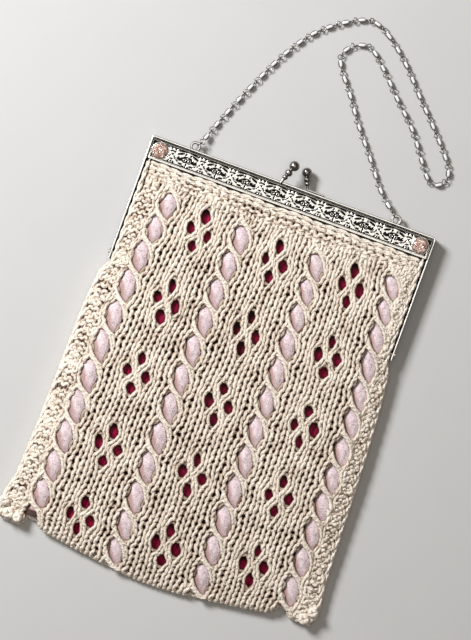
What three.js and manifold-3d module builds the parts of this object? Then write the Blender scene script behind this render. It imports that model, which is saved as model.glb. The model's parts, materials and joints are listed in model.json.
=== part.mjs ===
// A small evening purse: a knitted bag with pink ribbon insertion on a hinged metal frame with a
// kiss lock, and a chain of glass beads. It lies on its back, with the chain laid out beyond the frame.
// Millimetres. +Z is up from the surface, +Y runs from the bag's foot to the frame, and the origin is
// on the surface under the middle of the bag.
import * as THREE from "three";
import { mergeVertices } from "three/addons/utils/BufferGeometryUtils.js";
import Module from "manifold-3d";

const wasm = await Module();
wasm.setup();

// Driving dimensions of the frame
const FRAME_WIDTH = 190;
const FRAME_TOP = 134;
const METAL = 1.2;
const THIN_METAL = 0.7;
const RIM_HEIGHT = 10;
const GROOVE = 1.1;
const BAR_BOTTOM = 119.1;
const ARM_END = 52;
const BAG_SWELLS = ARM_END - 1;
const FACE_TOP = 11.2;
const BEAD_EDGE_TOP = 12;
const FLANGE_MEET = 5.8;
const FRONT_ARM = { width: 2, bottom: 3, top: 7 };
const BACK_FOOT_WIDTH = 3.4;
const HINGE = { y: 56, z: 5, rivet: 1.1, bore: 1.5, head: 2, headLength: 0.8, sides: 8 };
const CLEAR = 0.3;

// Stones, soldered chain eyes and the kiss lock
const STONE = { x: 86.9, y: 125.7, sides: 12 };
const STONE_PROFILE = [
  { radius: 0, height: 0 },
  { radius: 4.4, height: 0 },
  { radius: 4.75, height: 0.7 },
  { radius: 4, height: 2 },
  { radius: 2.4, height: 2.7 },
  { radius: 0, height: 2.7 },
];
const BEZEL = { inner: 5.05, outer: 5.6, top: 12.3, sides: 14 };
const EYE = { x: 67.4, y: 136.2, z: 5, radius: 2.85, wire: 0.75, sides: 12, wireSides: 5 };
const CLASP = [
  { name: "clasp_ball_left", x: -9.3, y: 132.6, z: 11.4, ballX: -4.5, ballY: 145.7, foot: 0 },
  { name: "clasp_ball_right", x: 8.6, y: 134.8, z: 5, ballX: 4.3, ballY: 145, foot: 11.4 },
];
const CLASP_FOOT = { thick: 1.2, deep: 2.4 };
const CLASP_BALL = 3.25;
// The turned post under the ball: a stem with two beads, each bead wider than the one below it
const CLASP_POST = [
  { radius: 0, along: 0 },
  { radius: 1, along: 0 },
  { radius: 0.9, along: 2.6 },
  { radius: 1.5, along: 3.4 },
  { radius: 1.5, along: 4.2 },
  { radius: 0.9, along: 5 },
  { radius: 2.1, along: 6.1 },
  { radius: 2.1, along: 7.2 },
];
const CLASP_NECK = 1.1;
const CLASP_SIDES = 10;

// Filigree: one rosette with scrolls to each repeat, and a spray of leaves between repeats
const FILIGREE = { count: 8, pitch: 19.4, y: 125.7, rise: 0.9, sink: 0.3 };
const ROSETTE = { radius: 2, crest: 1.6, sides: 6 };
const SCROLLS = [
  { x: 4.2, y: 2.4, length: 4.6, width: 1.5, turn: -18 },
  { x: 4.6, y: -3.4, length: 5.2, width: 1.4, turn: 8 },
];
const LEAVES = [
  { turn: 0, length: 7.4, width: 1.7 },
  { turn: 38, length: 6.4, width: 1.6 },
];
const LEAF_FOOT = -4.2;

// The bag: its side edges and the heights of its front at the edges and the middle, by section
const KNIT_WALL = 2.6;
const BACK_WALL = 2.4;
const BACK_INSET = 1;
const MOUTH = 118.7;
const SECTIONS = [
  { y: MOUTH, left: -93.3, right: 93.3, edge: 9.9, middle: 12.6 },
  { y: 108, left: -93.3, right: 93.3, edge: 9.9, middle: 13.8 },
  { y: BAG_SWELLS, left: -93.3, right: 93.3, edge: 9.9, middle: 15.5 },
  { y: 42, left: -98, right: 97, edge: 6.4, middle: 15.8 },
  { y: 20, left: -100, right: 99.5, edge: 5.4, middle: 16 },
  { y: -20, left: -100.8, right: 102, edge: 5.4, middle: 16 },
  { y: -60, left: -101.5, right: 103.5, edge: 5.4, middle: 15 },
  { y: -95, left: -103, right: 105, edge: 5.4, middle: 12.8 },
  { y: -110, left: -106.5, right: 107, edge: 5.4, middle: 11 },
  { y: -136, left: -107, right: 107, edge: 5.2, middle: 6 },
];
// How far across the bag each line of the front lies, and its share of the rise to the middle
const CROWN = [
  { share: 0, rise: 0 },
  { share: 0.018, rise: 0.35 },
  { share: 0.048, rise: 0.62 },
  { share: 0.162, rise: 0.93 },
  { share: 0.32, rise: 1 },
  { share: 0.59, rise: 1 },
  { share: 0.857, rise: 0.92 },
  { share: 0.955, rise: 0.62 },
  { share: 0.983, rise: 0.35 },
  { share: 1, rise: 0 },
];
// The foot: a bowed edge between two corner tabs, with a notch where each outer ribbon ends
const FOOT_EDGE = [
  { x: -107.4, y: -112 },
  { x: -104, y: -125 },
  { x: -90, y: -126 },
  { x: -87, y: -120.5 },
  { x: -80, y: -120.5 },
  { x: -75, y: -124.5 },
  { x: -40, y: -130 },
  { x: -18, y: -132.8 },
  { x: 0, y: -133.6 },
  { x: 18, y: -132.8 },
  { x: 40, y: -130 },
  { x: 76, y: -124.5 },
  { x: 82, y: -119 },
  { x: 88.5, y: -119 },
  { x: 91.5, y: -122.5 },
  { x: 104, y: -123.5 },
  { x: 107.4, y: -112 },
];

// Ribbon insertion: the middle of each ribbon at four heights, and its row of windows
const RIBBON_STATIONS = [104, 65, 0, -125];
const RIBBONS = [
  { x: [-69.5, -75.5, -79.7, -84], first: 95, pitch: 19.67, count: 11 },
  { x: [-19.5, -22.7, -25.5, -27], first: 91, pitch: 19.23, count: 12 },
  { x: [29.5, 30, 30, 30], first: 91, pitch: 18.96, count: 12 },
  { x: [78.5, 81, 85, 85.5], first: 94.7, pitch: 18.28, count: 12 },
];
const RIBBON = { width: 10.4, thick: 0.8, top: 105, shortOfFoot: 3, gap: 0.5, steps: 10 };
const WINDOW = { width: 8.6, strand: 4.4, slant: 2.4 };

// Lace: clusters of four eyelets down the middle of each panel between two ribbons
const LACE_ROWS = [87, 42, -6.5, -56, -107];
const EYELET = { width: 4.8, height: 7.6, lean: 0.8, across: 7, along: 10 };

// Lining pouch
const LINING = { wall: 0.8, side: 8, foot: -120, under: 0.4, gap: 0.5, pinched: 1.4, slit: 0.2 };

// Chain: glass beads on wire, strung along a route from eye to eye
const BEAD = { count: 46, radius: 1.9, length: 5.4, shoulder: 0.8, lift: 0.1, sides: 10 };
const CHAIN_WIRE = 0.85;
const ROUTE_DIVISIONS = 2000;
const END_LINK = { radius: 1.75, wire: 0.4, sides: 10, wireSides: 5 };
const ROUTE = [
  [-64.6, 139.8], [-60.2, 152.9], [-52.1, 173.5], [-43.8, 192.4], [-34, 212], [-21.4, 229.9],
  [-4.2, 243.5], [10.5, 249.4], [24.1, 243.6], [39.9, 230.6], [55, 214.5], [70, 199.1], [85.1, 181.9],
  [89, 173.2], [85.7, 166.2], [78.4, 166.6], [70.4, 176.4], [57.8, 193.2], [42.3, 208.2], [27.7, 222.9],
  [15.5, 233], [6, 231.6], [-0.6, 224], [1.6, 215.4], [11.9, 202.3], [24.5, 184.8], [38.1, 168.3],
  [51.8, 150.8], [63.6, 139.8],
];

// Finishes
const FINISH = {
  silver: { color: 0xb9b7b2, metalness: 1, roughness: 0.35 },
  cotton: { color: 0xd5c6b4, metalness: 0, roughness: 0.95 },
  ribbon: { color: 0xe6cfd0, metalness: 0, roughness: 0.75 },
  lining: { color: 0x6b1033, metalness: 0, roughness: 0.8 },
  stone: { color: 0xc98f7c, metalness: 0, roughness: 0.1 },
  glass: { color: 0xd8d6d4, metalness: 0.2, roughness: 0.1 },
};

const purse = new THREE.Group();
const materials = Object.fromEntries(
  Object.entries(FINISH).map(([name, values]) => [name, new THREE.MeshStandardMaterial(values)]),
);

function solid(geometry) {
  const bare = geometry.clone();
  bare.deleteAttribute("normal");
  bare.deleteAttribute("uv");
  const merged = mergeVertices(bare, 1e-3);
  const vertProperties = new Float32Array(merged.attributes.position.array);
  const triVerts = new Uint32Array(merged.index.array);
  return new wasm.Manifold(new wasm.Mesh({ numProp: 3, vertProperties, triVerts }));
}

function join(pieces) {
  return pieces.reduce((whole, piece) => whole.add(piece));
}

function add(name, body, finish) {
  const { vertProperties, triVerts } = body.getMesh();
  const geometry = new THREE.BufferGeometry();
  geometry.setAttribute("position", new THREE.BufferAttribute(vertProperties, 3));
  geometry.setIndex(new THREE.BufferAttribute(triVerts, 1));
  geometry.computeVertexNormals();
  const mesh = new THREE.Mesh(geometry, materials[finish]);
  mesh.name = name;
  purse.add(mesh);
}

function block(x0, x1, y0, y1, z0, z1) {
  const box = new THREE.BoxGeometry(x1 - x0, y1 - y0, z1 - z0);
  return solid(box.translate((x0 + x1) / 2, (y0 + y1) / 2, (z0 + z1) / 2));
}

// An upright prism over an outline of [x, y] points.
function prism(outline, bottom, top) {
  const shape = new THREE.Shape(outline.map(([x, y]) => new THREE.Vector2(x, y)));
  const geometry = new THREE.ExtrudeGeometry(shape, { depth: top - bottom, bevelEnabled: false });
  return solid(geometry.translate(0, 0, bottom));
}

// A value read off a table between two of its rows, which are in order of the column given.
function between(rows, column, value, key) {
  const falling = rows[1][column] < rows[0][column];
  const passed = (row) => (falling ? row[column] <= value : row[column] >= value);
  const found = rows.findIndex((row, i) => i > 0 && passed(row));
  const i = found < 0 ? rows.length - 1 : found;
  const [from, to] = [rows[i - 1], rows[i]];
  const share = THREE.MathUtils.clamp((value - from[column]) / (to[column] - from[column]), 0, 1);
  return THREE.MathUtils.lerp(from[key], to[key], share);
}

// Height of the top of the knitted front: it rises from its edges to its middle, and falls to the foot.
function frontTop(x, y) {
  const [left, right, edge, middle] = ["left", "right", "edge", "middle"].map((key) =>
    between(SECTIONS, "y", y, key),
  );
  const rise = between(CROWN, "share", (x - left) / (right - left), "rise");
  return THREE.MathUtils.lerp(edge, middle, rise);
}

// The bag's plan as a grid of [x, y] points, a row to each section, drawn in at the sides by inset.
// Between the frame's arms it is no wider than frameEdge each way, and it stops at foot.
function bagPlan({ inset = 0, frameEdge = Infinity, foot = SECTIONS.at(-1).y } = {}) {
  const levels = [...SECTIONS.map((row) => row.y).filter((y) => y > foot), foot];
  return levels.map((y) => {
    const limit = y >= BAG_SWELLS ? frameEdge : Infinity;
    const left = Math.max(-limit, between(SECTIONS, "y", y, "left") + inset);
    const right = Math.min(limit, between(SECTIONS, "y", y, "right") - inset);
    return CROWN.map(({ share }) => [THREE.MathUtils.lerp(left, right, share), y]);
  });
}

// A closed solid between an upper and a lower surface over one grid of [x, y] points.
function slab(plan, upper, lower) {
  const rows = plan.length;
  const columns = plan[0].length;
  const points = plan.flat();
  const heights = [upper, lower].map((surface) => points.map(([x, y]) => [x, y, surface(x, y)]));
  const index = [];
  const at = (layer, row, column) => layer * rows * columns + row * columns + column;
  const quad = (a, b, c, d) => index.push(a, b, c, a, c, d);
  for (let r = 0; r < rows - 1; r += 1) {
    for (let c = 0; c < columns - 1; c += 1) {
      quad(at(0, r, c), at(0, r + 1, c), at(0, r + 1, c + 1), at(0, r, c + 1));
      quad(at(1, r, c), at(1, r, c + 1), at(1, r + 1, c + 1), at(1, r + 1, c));
    }
    quad(at(0, r, 0), at(1, r, 0), at(1, r + 1, 0), at(0, r + 1, 0));
    const end = columns - 1;
    quad(at(0, r, end), at(0, r + 1, end), at(1, r + 1, end), at(1, r, end));
  }
  for (let c = 0; c < columns - 1; c += 1) {
    const end = rows - 1;
    quad(at(0, 0, c), at(0, 0, c + 1), at(1, 0, c + 1), at(1, 0, c));
    quad(at(0, end, c), at(1, end, c), at(1, end, c + 1), at(0, end, c + 1));
  }
  const geometry = new THREE.BufferGeometry();
  geometry.setAttribute("position", new THREE.Float32BufferAttribute(heights.flat(2), 3));
  geometry.setIndex(index);
  return solid(geometry);
}

function ribbonMiddle(ribbon, y) {
  const rows = RIBBON_STATIONS.map((station, i) => ({ y: station, x: ribbon.x[i] }));
  return between(rows, "y", y, "x");
}

// A window between two strands that slant from upper left to lower right.
function windowOutline(x, y, height) {
  const w = WINDOW.width / 2;
  const h = height / 2;
  const s = WINDOW.slant;
  return [[x - w, y - h + s], [x + w, y - h - s], [x + w, y + h - s], [x - w, y + h + s]];
}

// An eyelet: a leaning lozenge with a blunt top.
function eyeletOutline(x, y) {
  const w = EYELET.width / 2;
  const h = EYELET.height / 2;
  const k = EYELET.lean;
  return [[x + k, y - h], [x + w, y], [x, y + h], [x - w + k, y + h / 2], [x - w, y - h / 5]];
}

function windowCuts() {
  return RIBBONS.flatMap((ribbon) =>
    Array.from({ length: ribbon.count }, (_, i) => {
      const y = ribbon.first - i * ribbon.pitch;
      return windowOutline(ribbonMiddle(ribbon, y), y, ribbon.pitch - WINDOW.strand);
    }),
  );
}

function eyeletCuts() {
  const places = [
    [0, EYELET.along], [-EYELET.across, 0], [EYELET.across, 0], [0, -EYELET.along],
  ];
  return RIBBONS.slice(1).flatMap((right, i) =>
    LACE_ROWS.flatMap((y) => {
      const x = (ribbonMiddle(RIBBONS[i], y) + ribbonMiddle(right, y)) / 2;
      return places.map(([dx, dy]) => eyeletOutline(x + dx, y + dy));
    }),
  );
}

function addBag() {
  const highest = Math.max(...SECTIONS.map((row) => row.middle)) + 1;
  const outline = FOOT_EDGE.map(({ x, y }) => [x, y]);
  const corners = [[FOOT_EDGE.at(-1).x, MOUTH + 1], [FOOT_EDGE[0].x, MOUTH + 1]];
  const shaped = prism([...outline, ...corners], -1, highest);
  const front = slab(bagPlan(), frontTop, (x, y) => frontTop(x, y) - KNIT_WALL);
  const cuts = [...windowCuts(), ...eyeletCuts()].map((cut) => prism(cut, 0, highest));
  add("knit_front", front.intersect(shaped).subtract(wasm.Manifold.union(cuts)), "cotton");

  const frameEdge = FRAME_WIDTH / 2 - BACK_FOOT_WIDTH - CLEAR;
  const back = slab(bagPlan({ inset: BACK_INSET, frameEdge }), () => BACK_WALL, () => 0);
  add("knit_back", back.intersect(shaped), "cotton");
}

// A pouch open at the frame: one slab hollowed by a smaller one that runs out through its mouth.
function addLining() {
  const { wall, side, foot, under, gap, pinched, slit } = LINING;
  const frameEdge = FRAME_WIDTH / 2 - METAL - GROOVE - FRONT_ARM.width - gap;
  const belowKnit = KNIT_WALL + gap;
  const drop = (y) => (y >= MOUTH ? belowKnit : belowKnit + RIBBON.gap + RIBBON.thick);
  const floor = BACK_WALL + under;
  const outer = slab(
    bagPlan({ inset: side, foot, frameEdge }),
    (x, y) => Math.max(frontTop(x, y) - drop(y), floor + pinched),
    () => floor,
  );
  const plan = bagPlan({ inset: side + 2 * wall, foot: foot + 2 * wall, frameEdge: frameEdge - wall });
  const beyondMouth = plan[0].map(([x]) => [x, MOUTH + 1]);
  const hollow = slab(
    [beyondMouth, ...plan],
    (x, y) => Math.max(frontTop(x, y) - drop(y) - wall, floor + wall + slit),
    () => floor + wall,
  );
  add("lining", outer.subtract(hollow), "lining");
}

function addRibbons() {
  const { top, shortOfFoot, width, thick, gap, steps } = RIBBON;
  const under = (x, y) => frontTop(x, y) - KNIT_WALL - gap;
  RIBBONS.forEach((ribbon, i) => {
    const foot = between(FOOT_EDGE, "x", ribbon.x.at(-1), "y") + shortOfFoot;
    const plan = Array.from({ length: steps }, (_, step) => {
      const y = THREE.MathUtils.lerp(top, foot, step / (steps - 1));
      const x = ribbonMiddle(ribbon, y);
      return [[x - width / 2, y], [x + width / 2, y]];
    });
    add(`ribbon_${i + 1}`, slab(plan, under, (x, y) => under(x, y) - thick), "ribbon");
  });
}

function hingeBores() {
  const reach = FRAME_WIDTH * 1.1;
  const bore = new THREE.CylinderGeometry(HINGE.bore, HINGE.bore, reach, HINGE.sides);
  return solid(bore.rotateZ(Math.PI / 2).translate(0, HINGE.y, HINGE.z));
}

// The back half: an outer rim round the top and both arms, a back plate and the soldered chain eyes.
function addBackHalf() {
  const half = FRAME_WIDTH / 2;
  const inner = half - METAL;
  const rim = prism(
    [
      [-half, ARM_END], [-inner, ARM_END], [-inner, FRAME_TOP - METAL], [inner, FRAME_TOP - METAL],
      [inner, ARM_END], [half, ARM_END], [half, FRAME_TOP], [-half, FRAME_TOP],
    ],
    0,
    RIM_HEIGHT,
  );
  const foot = half - BACK_FOOT_WIDTH;
  const rimMiddle = half - METAL / 2;
  const flange = half - METAL - GROOVE - FRONT_ARM.width - CLEAR;
  const pieces = [
    rim,
    block(-rimMiddle, rimMiddle, BAR_BOTTOM, FRAME_TOP - METAL / 2, 0, METAL),
    block(-flange, flange, BAR_BOTTOM, BAR_BOTTOM + METAL, 0, FLANGE_MEET - CLEAR / 2),
    block(foot, rimMiddle, ARM_END, BAR_BOTTOM + METAL, 0, METAL),
    block(-rimMiddle, -foot, ARM_END, BAR_BOTTOM + METAL, 0, METAL),
    ...[-EYE.x, EYE.x].map((x) =>
      solid(
        new THREE.TorusGeometry(EYE.radius, EYE.wire, EYE.wireSides, EYE.sides).translate(x, EYE.y, EYE.z),
      ),
    ),
  ];
  add("frame_back", join(pieces).subtract(hingeBores()), "silver");
}

// A pointed leaf or scroll lying along its own x axis, turned and moved on the bar's face.
function leafOutline({ x, y, turn, length, width }) {
  const cos = Math.cos(THREE.MathUtils.degToRad(turn));
  const sin = Math.sin(THREE.MathUtils.degToRad(turn));
  const half = width / 2;
  const own = [[-length / 2, 0], [-length / 5, -half], [length / 2, 0], [-length / 5, half]];
  return own.map(([u, v]) => [x + u * cos - v * sin, y + u * sin + v * cos]);
}

function filigree() {
  const { count, pitch, y, rise, sink } = FILIGREE;
  const raised = (outline) => prism(outline, FACE_TOP - sink, FACE_TOP + rise);
  const relief = [];
  for (let i = 0; i < count; i += 1) {
    const x = (i - (count - 1) / 2) * pitch;
    const boss = new THREE.CylinderGeometry(ROSETTE.crest, ROSETTE.radius, rise + sink, ROSETTE.sides);
    relief.push(solid(boss.rotateX(Math.PI / 2).translate(x, y, FACE_TOP + (rise - sink) / 2)));
    for (const side of [-1, 1]) {
      for (const { x: dx, y: dy, length, width, turn } of SCROLLS) {
        const facing = side < 0 ? 180 - turn : turn;
        relief.push(raised(leafOutline({ x: x + side * dx, y: y + dy, turn: facing, length, width })));
      }
    }
  }
  for (let i = 0; i <= count; i += 1) {
    const x = (i - count / 2) * pitch;
    for (const { turn, length, width } of LEAVES) {
      for (const lean of turn ? [-turn, turn] : [0]) {
        const out = length / 2;
        const angle = THREE.MathUtils.degToRad(90 + lean);
        const place = { x: x + out * Math.cos(angle), y: y + LEAF_FOOT + out * Math.sin(angle) };
        relief.push(raised(leafOutline({ ...place, length, width, turn: 90 + lean })));
      }
    }
  }
  return relief;
}

// The front half: a shallow box bar with raised filigree and two stone settings, and two slim arms.
function addFrontHalf() {
  const half = FRAME_WIDTH / 2 - METAL - GROOVE;
  const top = FRAME_TOP - METAL - GROOVE + CLEAR / 2;
  const under = FLANGE_MEET + CLEAR / 2;
  const lowRim = BAR_BOTTOM + METAL;
  const armIn = half - FRONT_ARM.width;
  const wall = (x0, x1, y0, y1, z1) => block(x0, x1, y0, y1, under, z1);
  const bezel = (x) => {
    const { inner, outer, sides } = BEZEL;
    const depth = BEZEL.top - FACE_TOP + METAL / 2;
    const ring = solid(new THREE.CylinderGeometry(outer, outer, depth, sides).rotateX(Math.PI / 2));
    const bore = solid(new THREE.CylinderGeometry(inner, inner, depth + 1, sides).rotateX(Math.PI / 2));
    return ring.subtract(bore).translate([x, STONE.y, BEZEL.top - depth / 2]);
  };
  const pieces = [
    block(-half, half, BAR_BOTTOM, top, FACE_TOP - METAL, FACE_TOP),
    wall(-half, half, BAR_BOTTOM, lowRim, BEAD_EDGE_TOP),
    wall(-half, half, top - THIN_METAL, top, BEAD_EDGE_TOP),
    wall(-half, -half + THIN_METAL, BAR_BOTTOM, top, BEAD_EDGE_TOP),
    wall(half - THIN_METAL, half, BAR_BOTTOM, top, BEAD_EDGE_TOP),
    block(-half, -armIn, ARM_END, lowRim, FRONT_ARM.bottom, FRONT_ARM.top),
    block(armIn, half, ARM_END, lowRim, FRONT_ARM.bottom, FRONT_ARM.top),
    bezel(-STONE.x),
    bezel(STONE.x),
    ...filigree(),
  ];
  add("frame_front", join(pieces).subtract(hingeBores()), "silver");
}

// A rivet through both arms, with a head inside and a head outside.
function addHinges() {
  const half = FRAME_WIDTH / 2;
  const armIn = half - METAL - GROOVE - FRONT_ARM.width;
  const inside = armIn - CLEAR;
  const outside = half + CLEAR;
  const { rivet, head, headLength } = HINGE;
  const profile = [
    [0, inside - headLength], [head, inside - headLength], [head, inside], [rivet, inside],
    [rivet, outside], [head, outside], [head, outside + headLength], [0, outside + headLength],
  ].map(([r, x]) => new THREE.Vector2(r, x));
  for (const [name, side] of [["hinge_rivet_left", 1], ["hinge_rivet_right", -1]]) {
    const turned = new THREE.LatheGeometry(profile, HINGE.sides).rotateZ((side * Math.PI) / 2);
    add(name, solid(turned.translate(0, HINGE.y, HINGE.z)), "silver");
  }
}

// A round stone with a flat table, two rings of crown facets and a flat foiled back.
function addStones() {
  const { x, y, sides } = STONE;
  const base = FACE_TOP + CLEAR;
  const profile = STONE_PROFILE.map(({ radius, height }) => new THREE.Vector2(radius, height));
  for (const [name, side] of [["corner_stone_left", -1], ["corner_stone_right", 1]]) {
    const cut = new THREE.LatheGeometry(profile, sides).rotateX(Math.PI / 2);
    add(name, solid(cut.translate(side * x, y, base)), "stone");
  }
}

// Two turned posts, each with its ball, that lean towards each other. One also has a foot on the rim.
function addClasp() {
  const neck = Math.sqrt(CLASP_BALL ** 2 - CLASP_NECK ** 2);
  const shoulder = CLASP_BALL * Math.SQRT1_2;
  for (const { name, x, y, z, ballX, ballY, foot } of CLASP) {
    const length = Math.hypot(ballX - x, ballY - y);
    const ball = [
      { radius: CLASP_NECK, along: length - neck },
      { radius: shoulder, along: length - shoulder },
      { radius: CLASP_BALL, along: length },
      { radius: shoulder, along: length + shoulder },
      { radius: 0, along: length + CLASP_BALL },
    ];
    const profile = [...CLASP_POST, ...ball].map(({ radius, along }) => new THREE.Vector2(radius, along));
    const post = new THREE.LatheGeometry(profile, CLASP_SIDES);
    post.rotateZ(-Math.atan2(ballX - x, ballY - y)).translate(x, y, z);
    const pieces = [solid(post)];
    if (foot) {
      const { thick, deep } = CLASP_FOOT;
      const base = FRAME_TOP + CLEAR;
      pieces.push(block(x - thick / 2, x + foot, base, base + thick, z - deep / 2, z + deep / 2));
    }
    add(name, join(pieces), "silver");
  }
}

// The chain: a straight string of beads turned as one profile, then bent along its route, with a
// wire link at each end that passes through the soldered eye.
function addChain() {
  const route = ROUTE.map(([x, y], i) => {
    const fromEnd = Math.min(i, ROUTE.length - 1 - i);
    const z = fromEnd === 0 ? EYE.z : BEAD.radius + BEAD.lift;
    return new THREE.Vector3(x, y, z);
  });
  const curve = new THREE.CatmullRomCurve3(route, false, "catmullrom", 0.5);
  curve.arcLengthDivisions = ROUTE_DIVISIONS;
  const length = curve.getLength();
  const pitch = length / BEAD.count;
  const profile = [new THREE.Vector2(0, 0), new THREE.Vector2(CHAIN_WIRE, 0)];
  for (let i = 0; i < BEAD.count; i += 1) {
    const middle = (i + 0.5) * pitch;
    const half = BEAD.length / 2;
    const full = half - BEAD.shoulder;
    for (const [along, radius] of [
      [-half, CHAIN_WIRE], [-full, BEAD.radius], [full, BEAD.radius], [half, CHAIN_WIRE],
    ]) {
      profile.push(new THREE.Vector2(radius, middle + along));
    }
  }
  profile.push(new THREE.Vector2(CHAIN_WIRE, length), new THREE.Vector2(0, length));
  const string = new THREE.LatheGeometry(profile, BEAD.sides);
  const position = string.attributes.position;
  const up = new THREE.Vector3(0, 0, 1);
  const side = new THREE.Vector3();
  for (let i = 0; i < position.count; i += 1) {
    const share = THREE.MathUtils.clamp(position.getY(i) / length, 0, 1);
    const tangent = curve.getTangentAt(share);
    const point = curve.getPointAt(share);
    point.z = Math.max(point.z, BEAD.radius);
    side.crossVectors(tangent, up).normalize();
    const lift = new THREE.Vector3().crossVectors(side, tangent);
    point.addScaledVector(side, position.getX(i)).addScaledVector(lift, position.getZ(i));
    position.setXYZ(i, point.x, point.y, point.z);
  }
  const links = [[-EYE.x, route[0]], [EYE.x, route.at(-1)]].map(([x, end]) => {
    const { radius, wire, sides, wireSides } = END_LINK;
    const link = new THREE.TorusGeometry(radius, wire, wireSides, sides).rotateX(Math.PI / 2);
    const away = new THREE.Vector2(end.x - x, end.y - EYE.y);
    const middle = away.clone().setLength(EYE.radius - EYE.wire - wire - CLEAR / 2 + radius);
    link.rotateZ(Math.atan2(away.y, away.x)).translate(x + middle.x, EYE.y + middle.y, EYE.z);
    return solid(link);
  });
  add("chain", join([solid(string), ...links]), "glass");
}

addBag();
addLining();
addRibbons();
addBackHalf();
addFrontHalf();
addHinges();
addStones();
addClasp();
addChain();

export default purse;
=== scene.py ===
import json
from functools import partial
from math import cos, pi, radians, sin

import bmesh
import bpy
import numpy as np
from bpy.props import FloatProperty, FloatVectorProperty, PointerProperty
from bpy.types import Operator, Panel, PropertyGroup
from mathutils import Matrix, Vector

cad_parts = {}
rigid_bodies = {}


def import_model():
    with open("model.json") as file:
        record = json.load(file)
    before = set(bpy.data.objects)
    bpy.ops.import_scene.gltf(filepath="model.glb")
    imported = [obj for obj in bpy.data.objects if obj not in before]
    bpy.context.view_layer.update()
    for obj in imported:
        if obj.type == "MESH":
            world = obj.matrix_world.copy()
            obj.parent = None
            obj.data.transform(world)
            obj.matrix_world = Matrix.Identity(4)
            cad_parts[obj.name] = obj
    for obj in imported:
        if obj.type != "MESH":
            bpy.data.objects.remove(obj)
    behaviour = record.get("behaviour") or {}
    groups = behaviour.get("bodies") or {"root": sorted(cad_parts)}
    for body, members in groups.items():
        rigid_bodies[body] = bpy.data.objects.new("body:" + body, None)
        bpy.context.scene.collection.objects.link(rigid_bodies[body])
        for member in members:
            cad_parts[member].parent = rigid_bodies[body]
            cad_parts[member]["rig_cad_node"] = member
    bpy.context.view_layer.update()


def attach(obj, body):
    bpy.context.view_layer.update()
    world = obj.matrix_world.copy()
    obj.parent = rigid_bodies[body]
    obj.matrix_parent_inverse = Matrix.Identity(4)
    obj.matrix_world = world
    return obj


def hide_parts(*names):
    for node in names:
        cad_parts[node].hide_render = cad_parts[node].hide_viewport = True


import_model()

bl_info = {
    "name": "Knitted Frame Purse",
    "version": (1, 0, 0),
    "blender": (4, 5, 0),
    "location": "3D View > Sidebar > Purse",
    "description": "Builds a knitted purse with ribbon insertion, a filigree frame and a bead chain",
    "category": "Mesh",
}

# All tables and shapes are in millimetres; a piece is put into metres when its mesh is made.
MM = 0.001
SIDES = (("left", -1), ("right", 1))

# The bag from its foot up: y, left edge, right edge, height at the edges, height at the middle
SECTIONS = np.array([
    (-136, -107, 107, 5.2, 6), (-110, -106.5, 107, 5.4, 11), (-95, -103, 105, 5.4, 12.8),
    (-60, -101.5, 103.5, 5.4, 15), (-20, -100.8, 102, 5.4, 16), (20, -100, 99.5, 5.4, 16),
    (42, -98, 97, 6.4, 15.8), (51, -93.3, 93.3, 9.9, 15.5), (108, -93.3, 93.3, 9.9, 13.8),
    (118.7, -93.3, 93.3, 9.9, 12.6),
])
# The foot's edge: x, y
FOOT = np.array([
    (-107.4, -112), (-104, -125), (-90, -126), (-87, -120.5), (-80, -120.5), (-75, -124.5),
    (-40, -130), (-18, -132.8), (0, -133.6), (18, -132.8), (40, -130), (76, -124.5), (82, -119),
    (88.5, -119), (91.5, -122.5), (104, -123.5), (107.4, -112),
])
# The middle of each ribbon at four heights, and the middles of the windows it shows in, from the top
RIBBON_Y = (-125, 0, 65, 104)
RIBBON_X = (
    (-84, -79.7, -75.5, -69.5), (-27, -25.5, -22.7, -19.5), (30, 30, 30, 29.5), (85.5, 85, 81, 78.5),
)
WINDOWS = (
    (95, 79, 60, 39, 19, -1.5, -21.5, -42.5, -63, -82.6, -101.7),
    (91, 72.8, 54, 35, 16, -4, -23, -43, -63.5, -84, -104.5, -120.5),
    (91, 74, 57.5, 39, 19.5, 0, -18.7, -38.7, -58.4, -78.4, -98.5, -117.6),
    (94.7, 79.3, 62.5, 43, 24.3, 6, -12.1, -31.3, -48.5, -67.7, -85.4, -106.4),
)
# Half the width of a window
WINDOW_HALF = 5.9
# How far the first crossing lies over the middle of the first window, and the last under that of the last
FIRST_CROSSING, LAST_CROSSING = 9, 9.5
# A ribbon's upper end, and its lower end over the foot's edge
RIBBON_TOP, RIBBON_END = 105, 3
# How far a ribbon lies under the front, the lean of its folds, its thickness, and its length as a multiple
# of its column's
RIBBON_UNDER, RIBBON_LEAN, RIBBON_THICK, RIBBON_SLACK = 3.5, 0.7, 0.5, 1.03
# The lining: its mouth, its depth, and its distances from the side edges, floor, front and foot's edge
LINING_TOP, LINING_DEPTH = 118, 237.5
LINING_INSET, LINING_BACK, LINING_UNDER, LINING_FOOT = 8.3, 3.3, 4.6, 6
# Where it shows in an eyelet, free of painted shade: how far below the eyelet's middle, half the width and
# height there, and the shares of those between which the knitting comes to cover it and its painted shade
# comes in
SHOWS_BELOW, SHOWS_HALF, SHOWS_FADE = 1.6, (3.2, 4.6), (0.55, 1.15)
# The knitting chart: stitches counted across the bag at each edge of the borders, ribbons and panels
WALES = (0, 3, 5, 12, 14, 21, 23, 30, 32, 35)
# How far the chart keeps from the side edges, and the width of a stitch past its ends
EDGE_INSET, END_STITCH = 3.4, 5.5
# Four places across the bag, with the first row's height and the distance between rows at each
CHART_X = (-78, -23, 30, 83)
ROW_TOP = (106.9, 102.7, 102.6, 105.9)
ROW_PITCH = (4.917, 4.81, 4.74, 4.57)
# Rows that lie evenly, the last row where no panel gives its own, and how far over the foot's edge it ends
EVEN_ROWS, LAST_ROW, ROW_FOOT = 44, 49, 0.7
# An even chart near the real one: the height of its row 0 and the distance between its rows
ROUGH_TOP, ROUGH_PITCH = 100, 4.8
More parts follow.
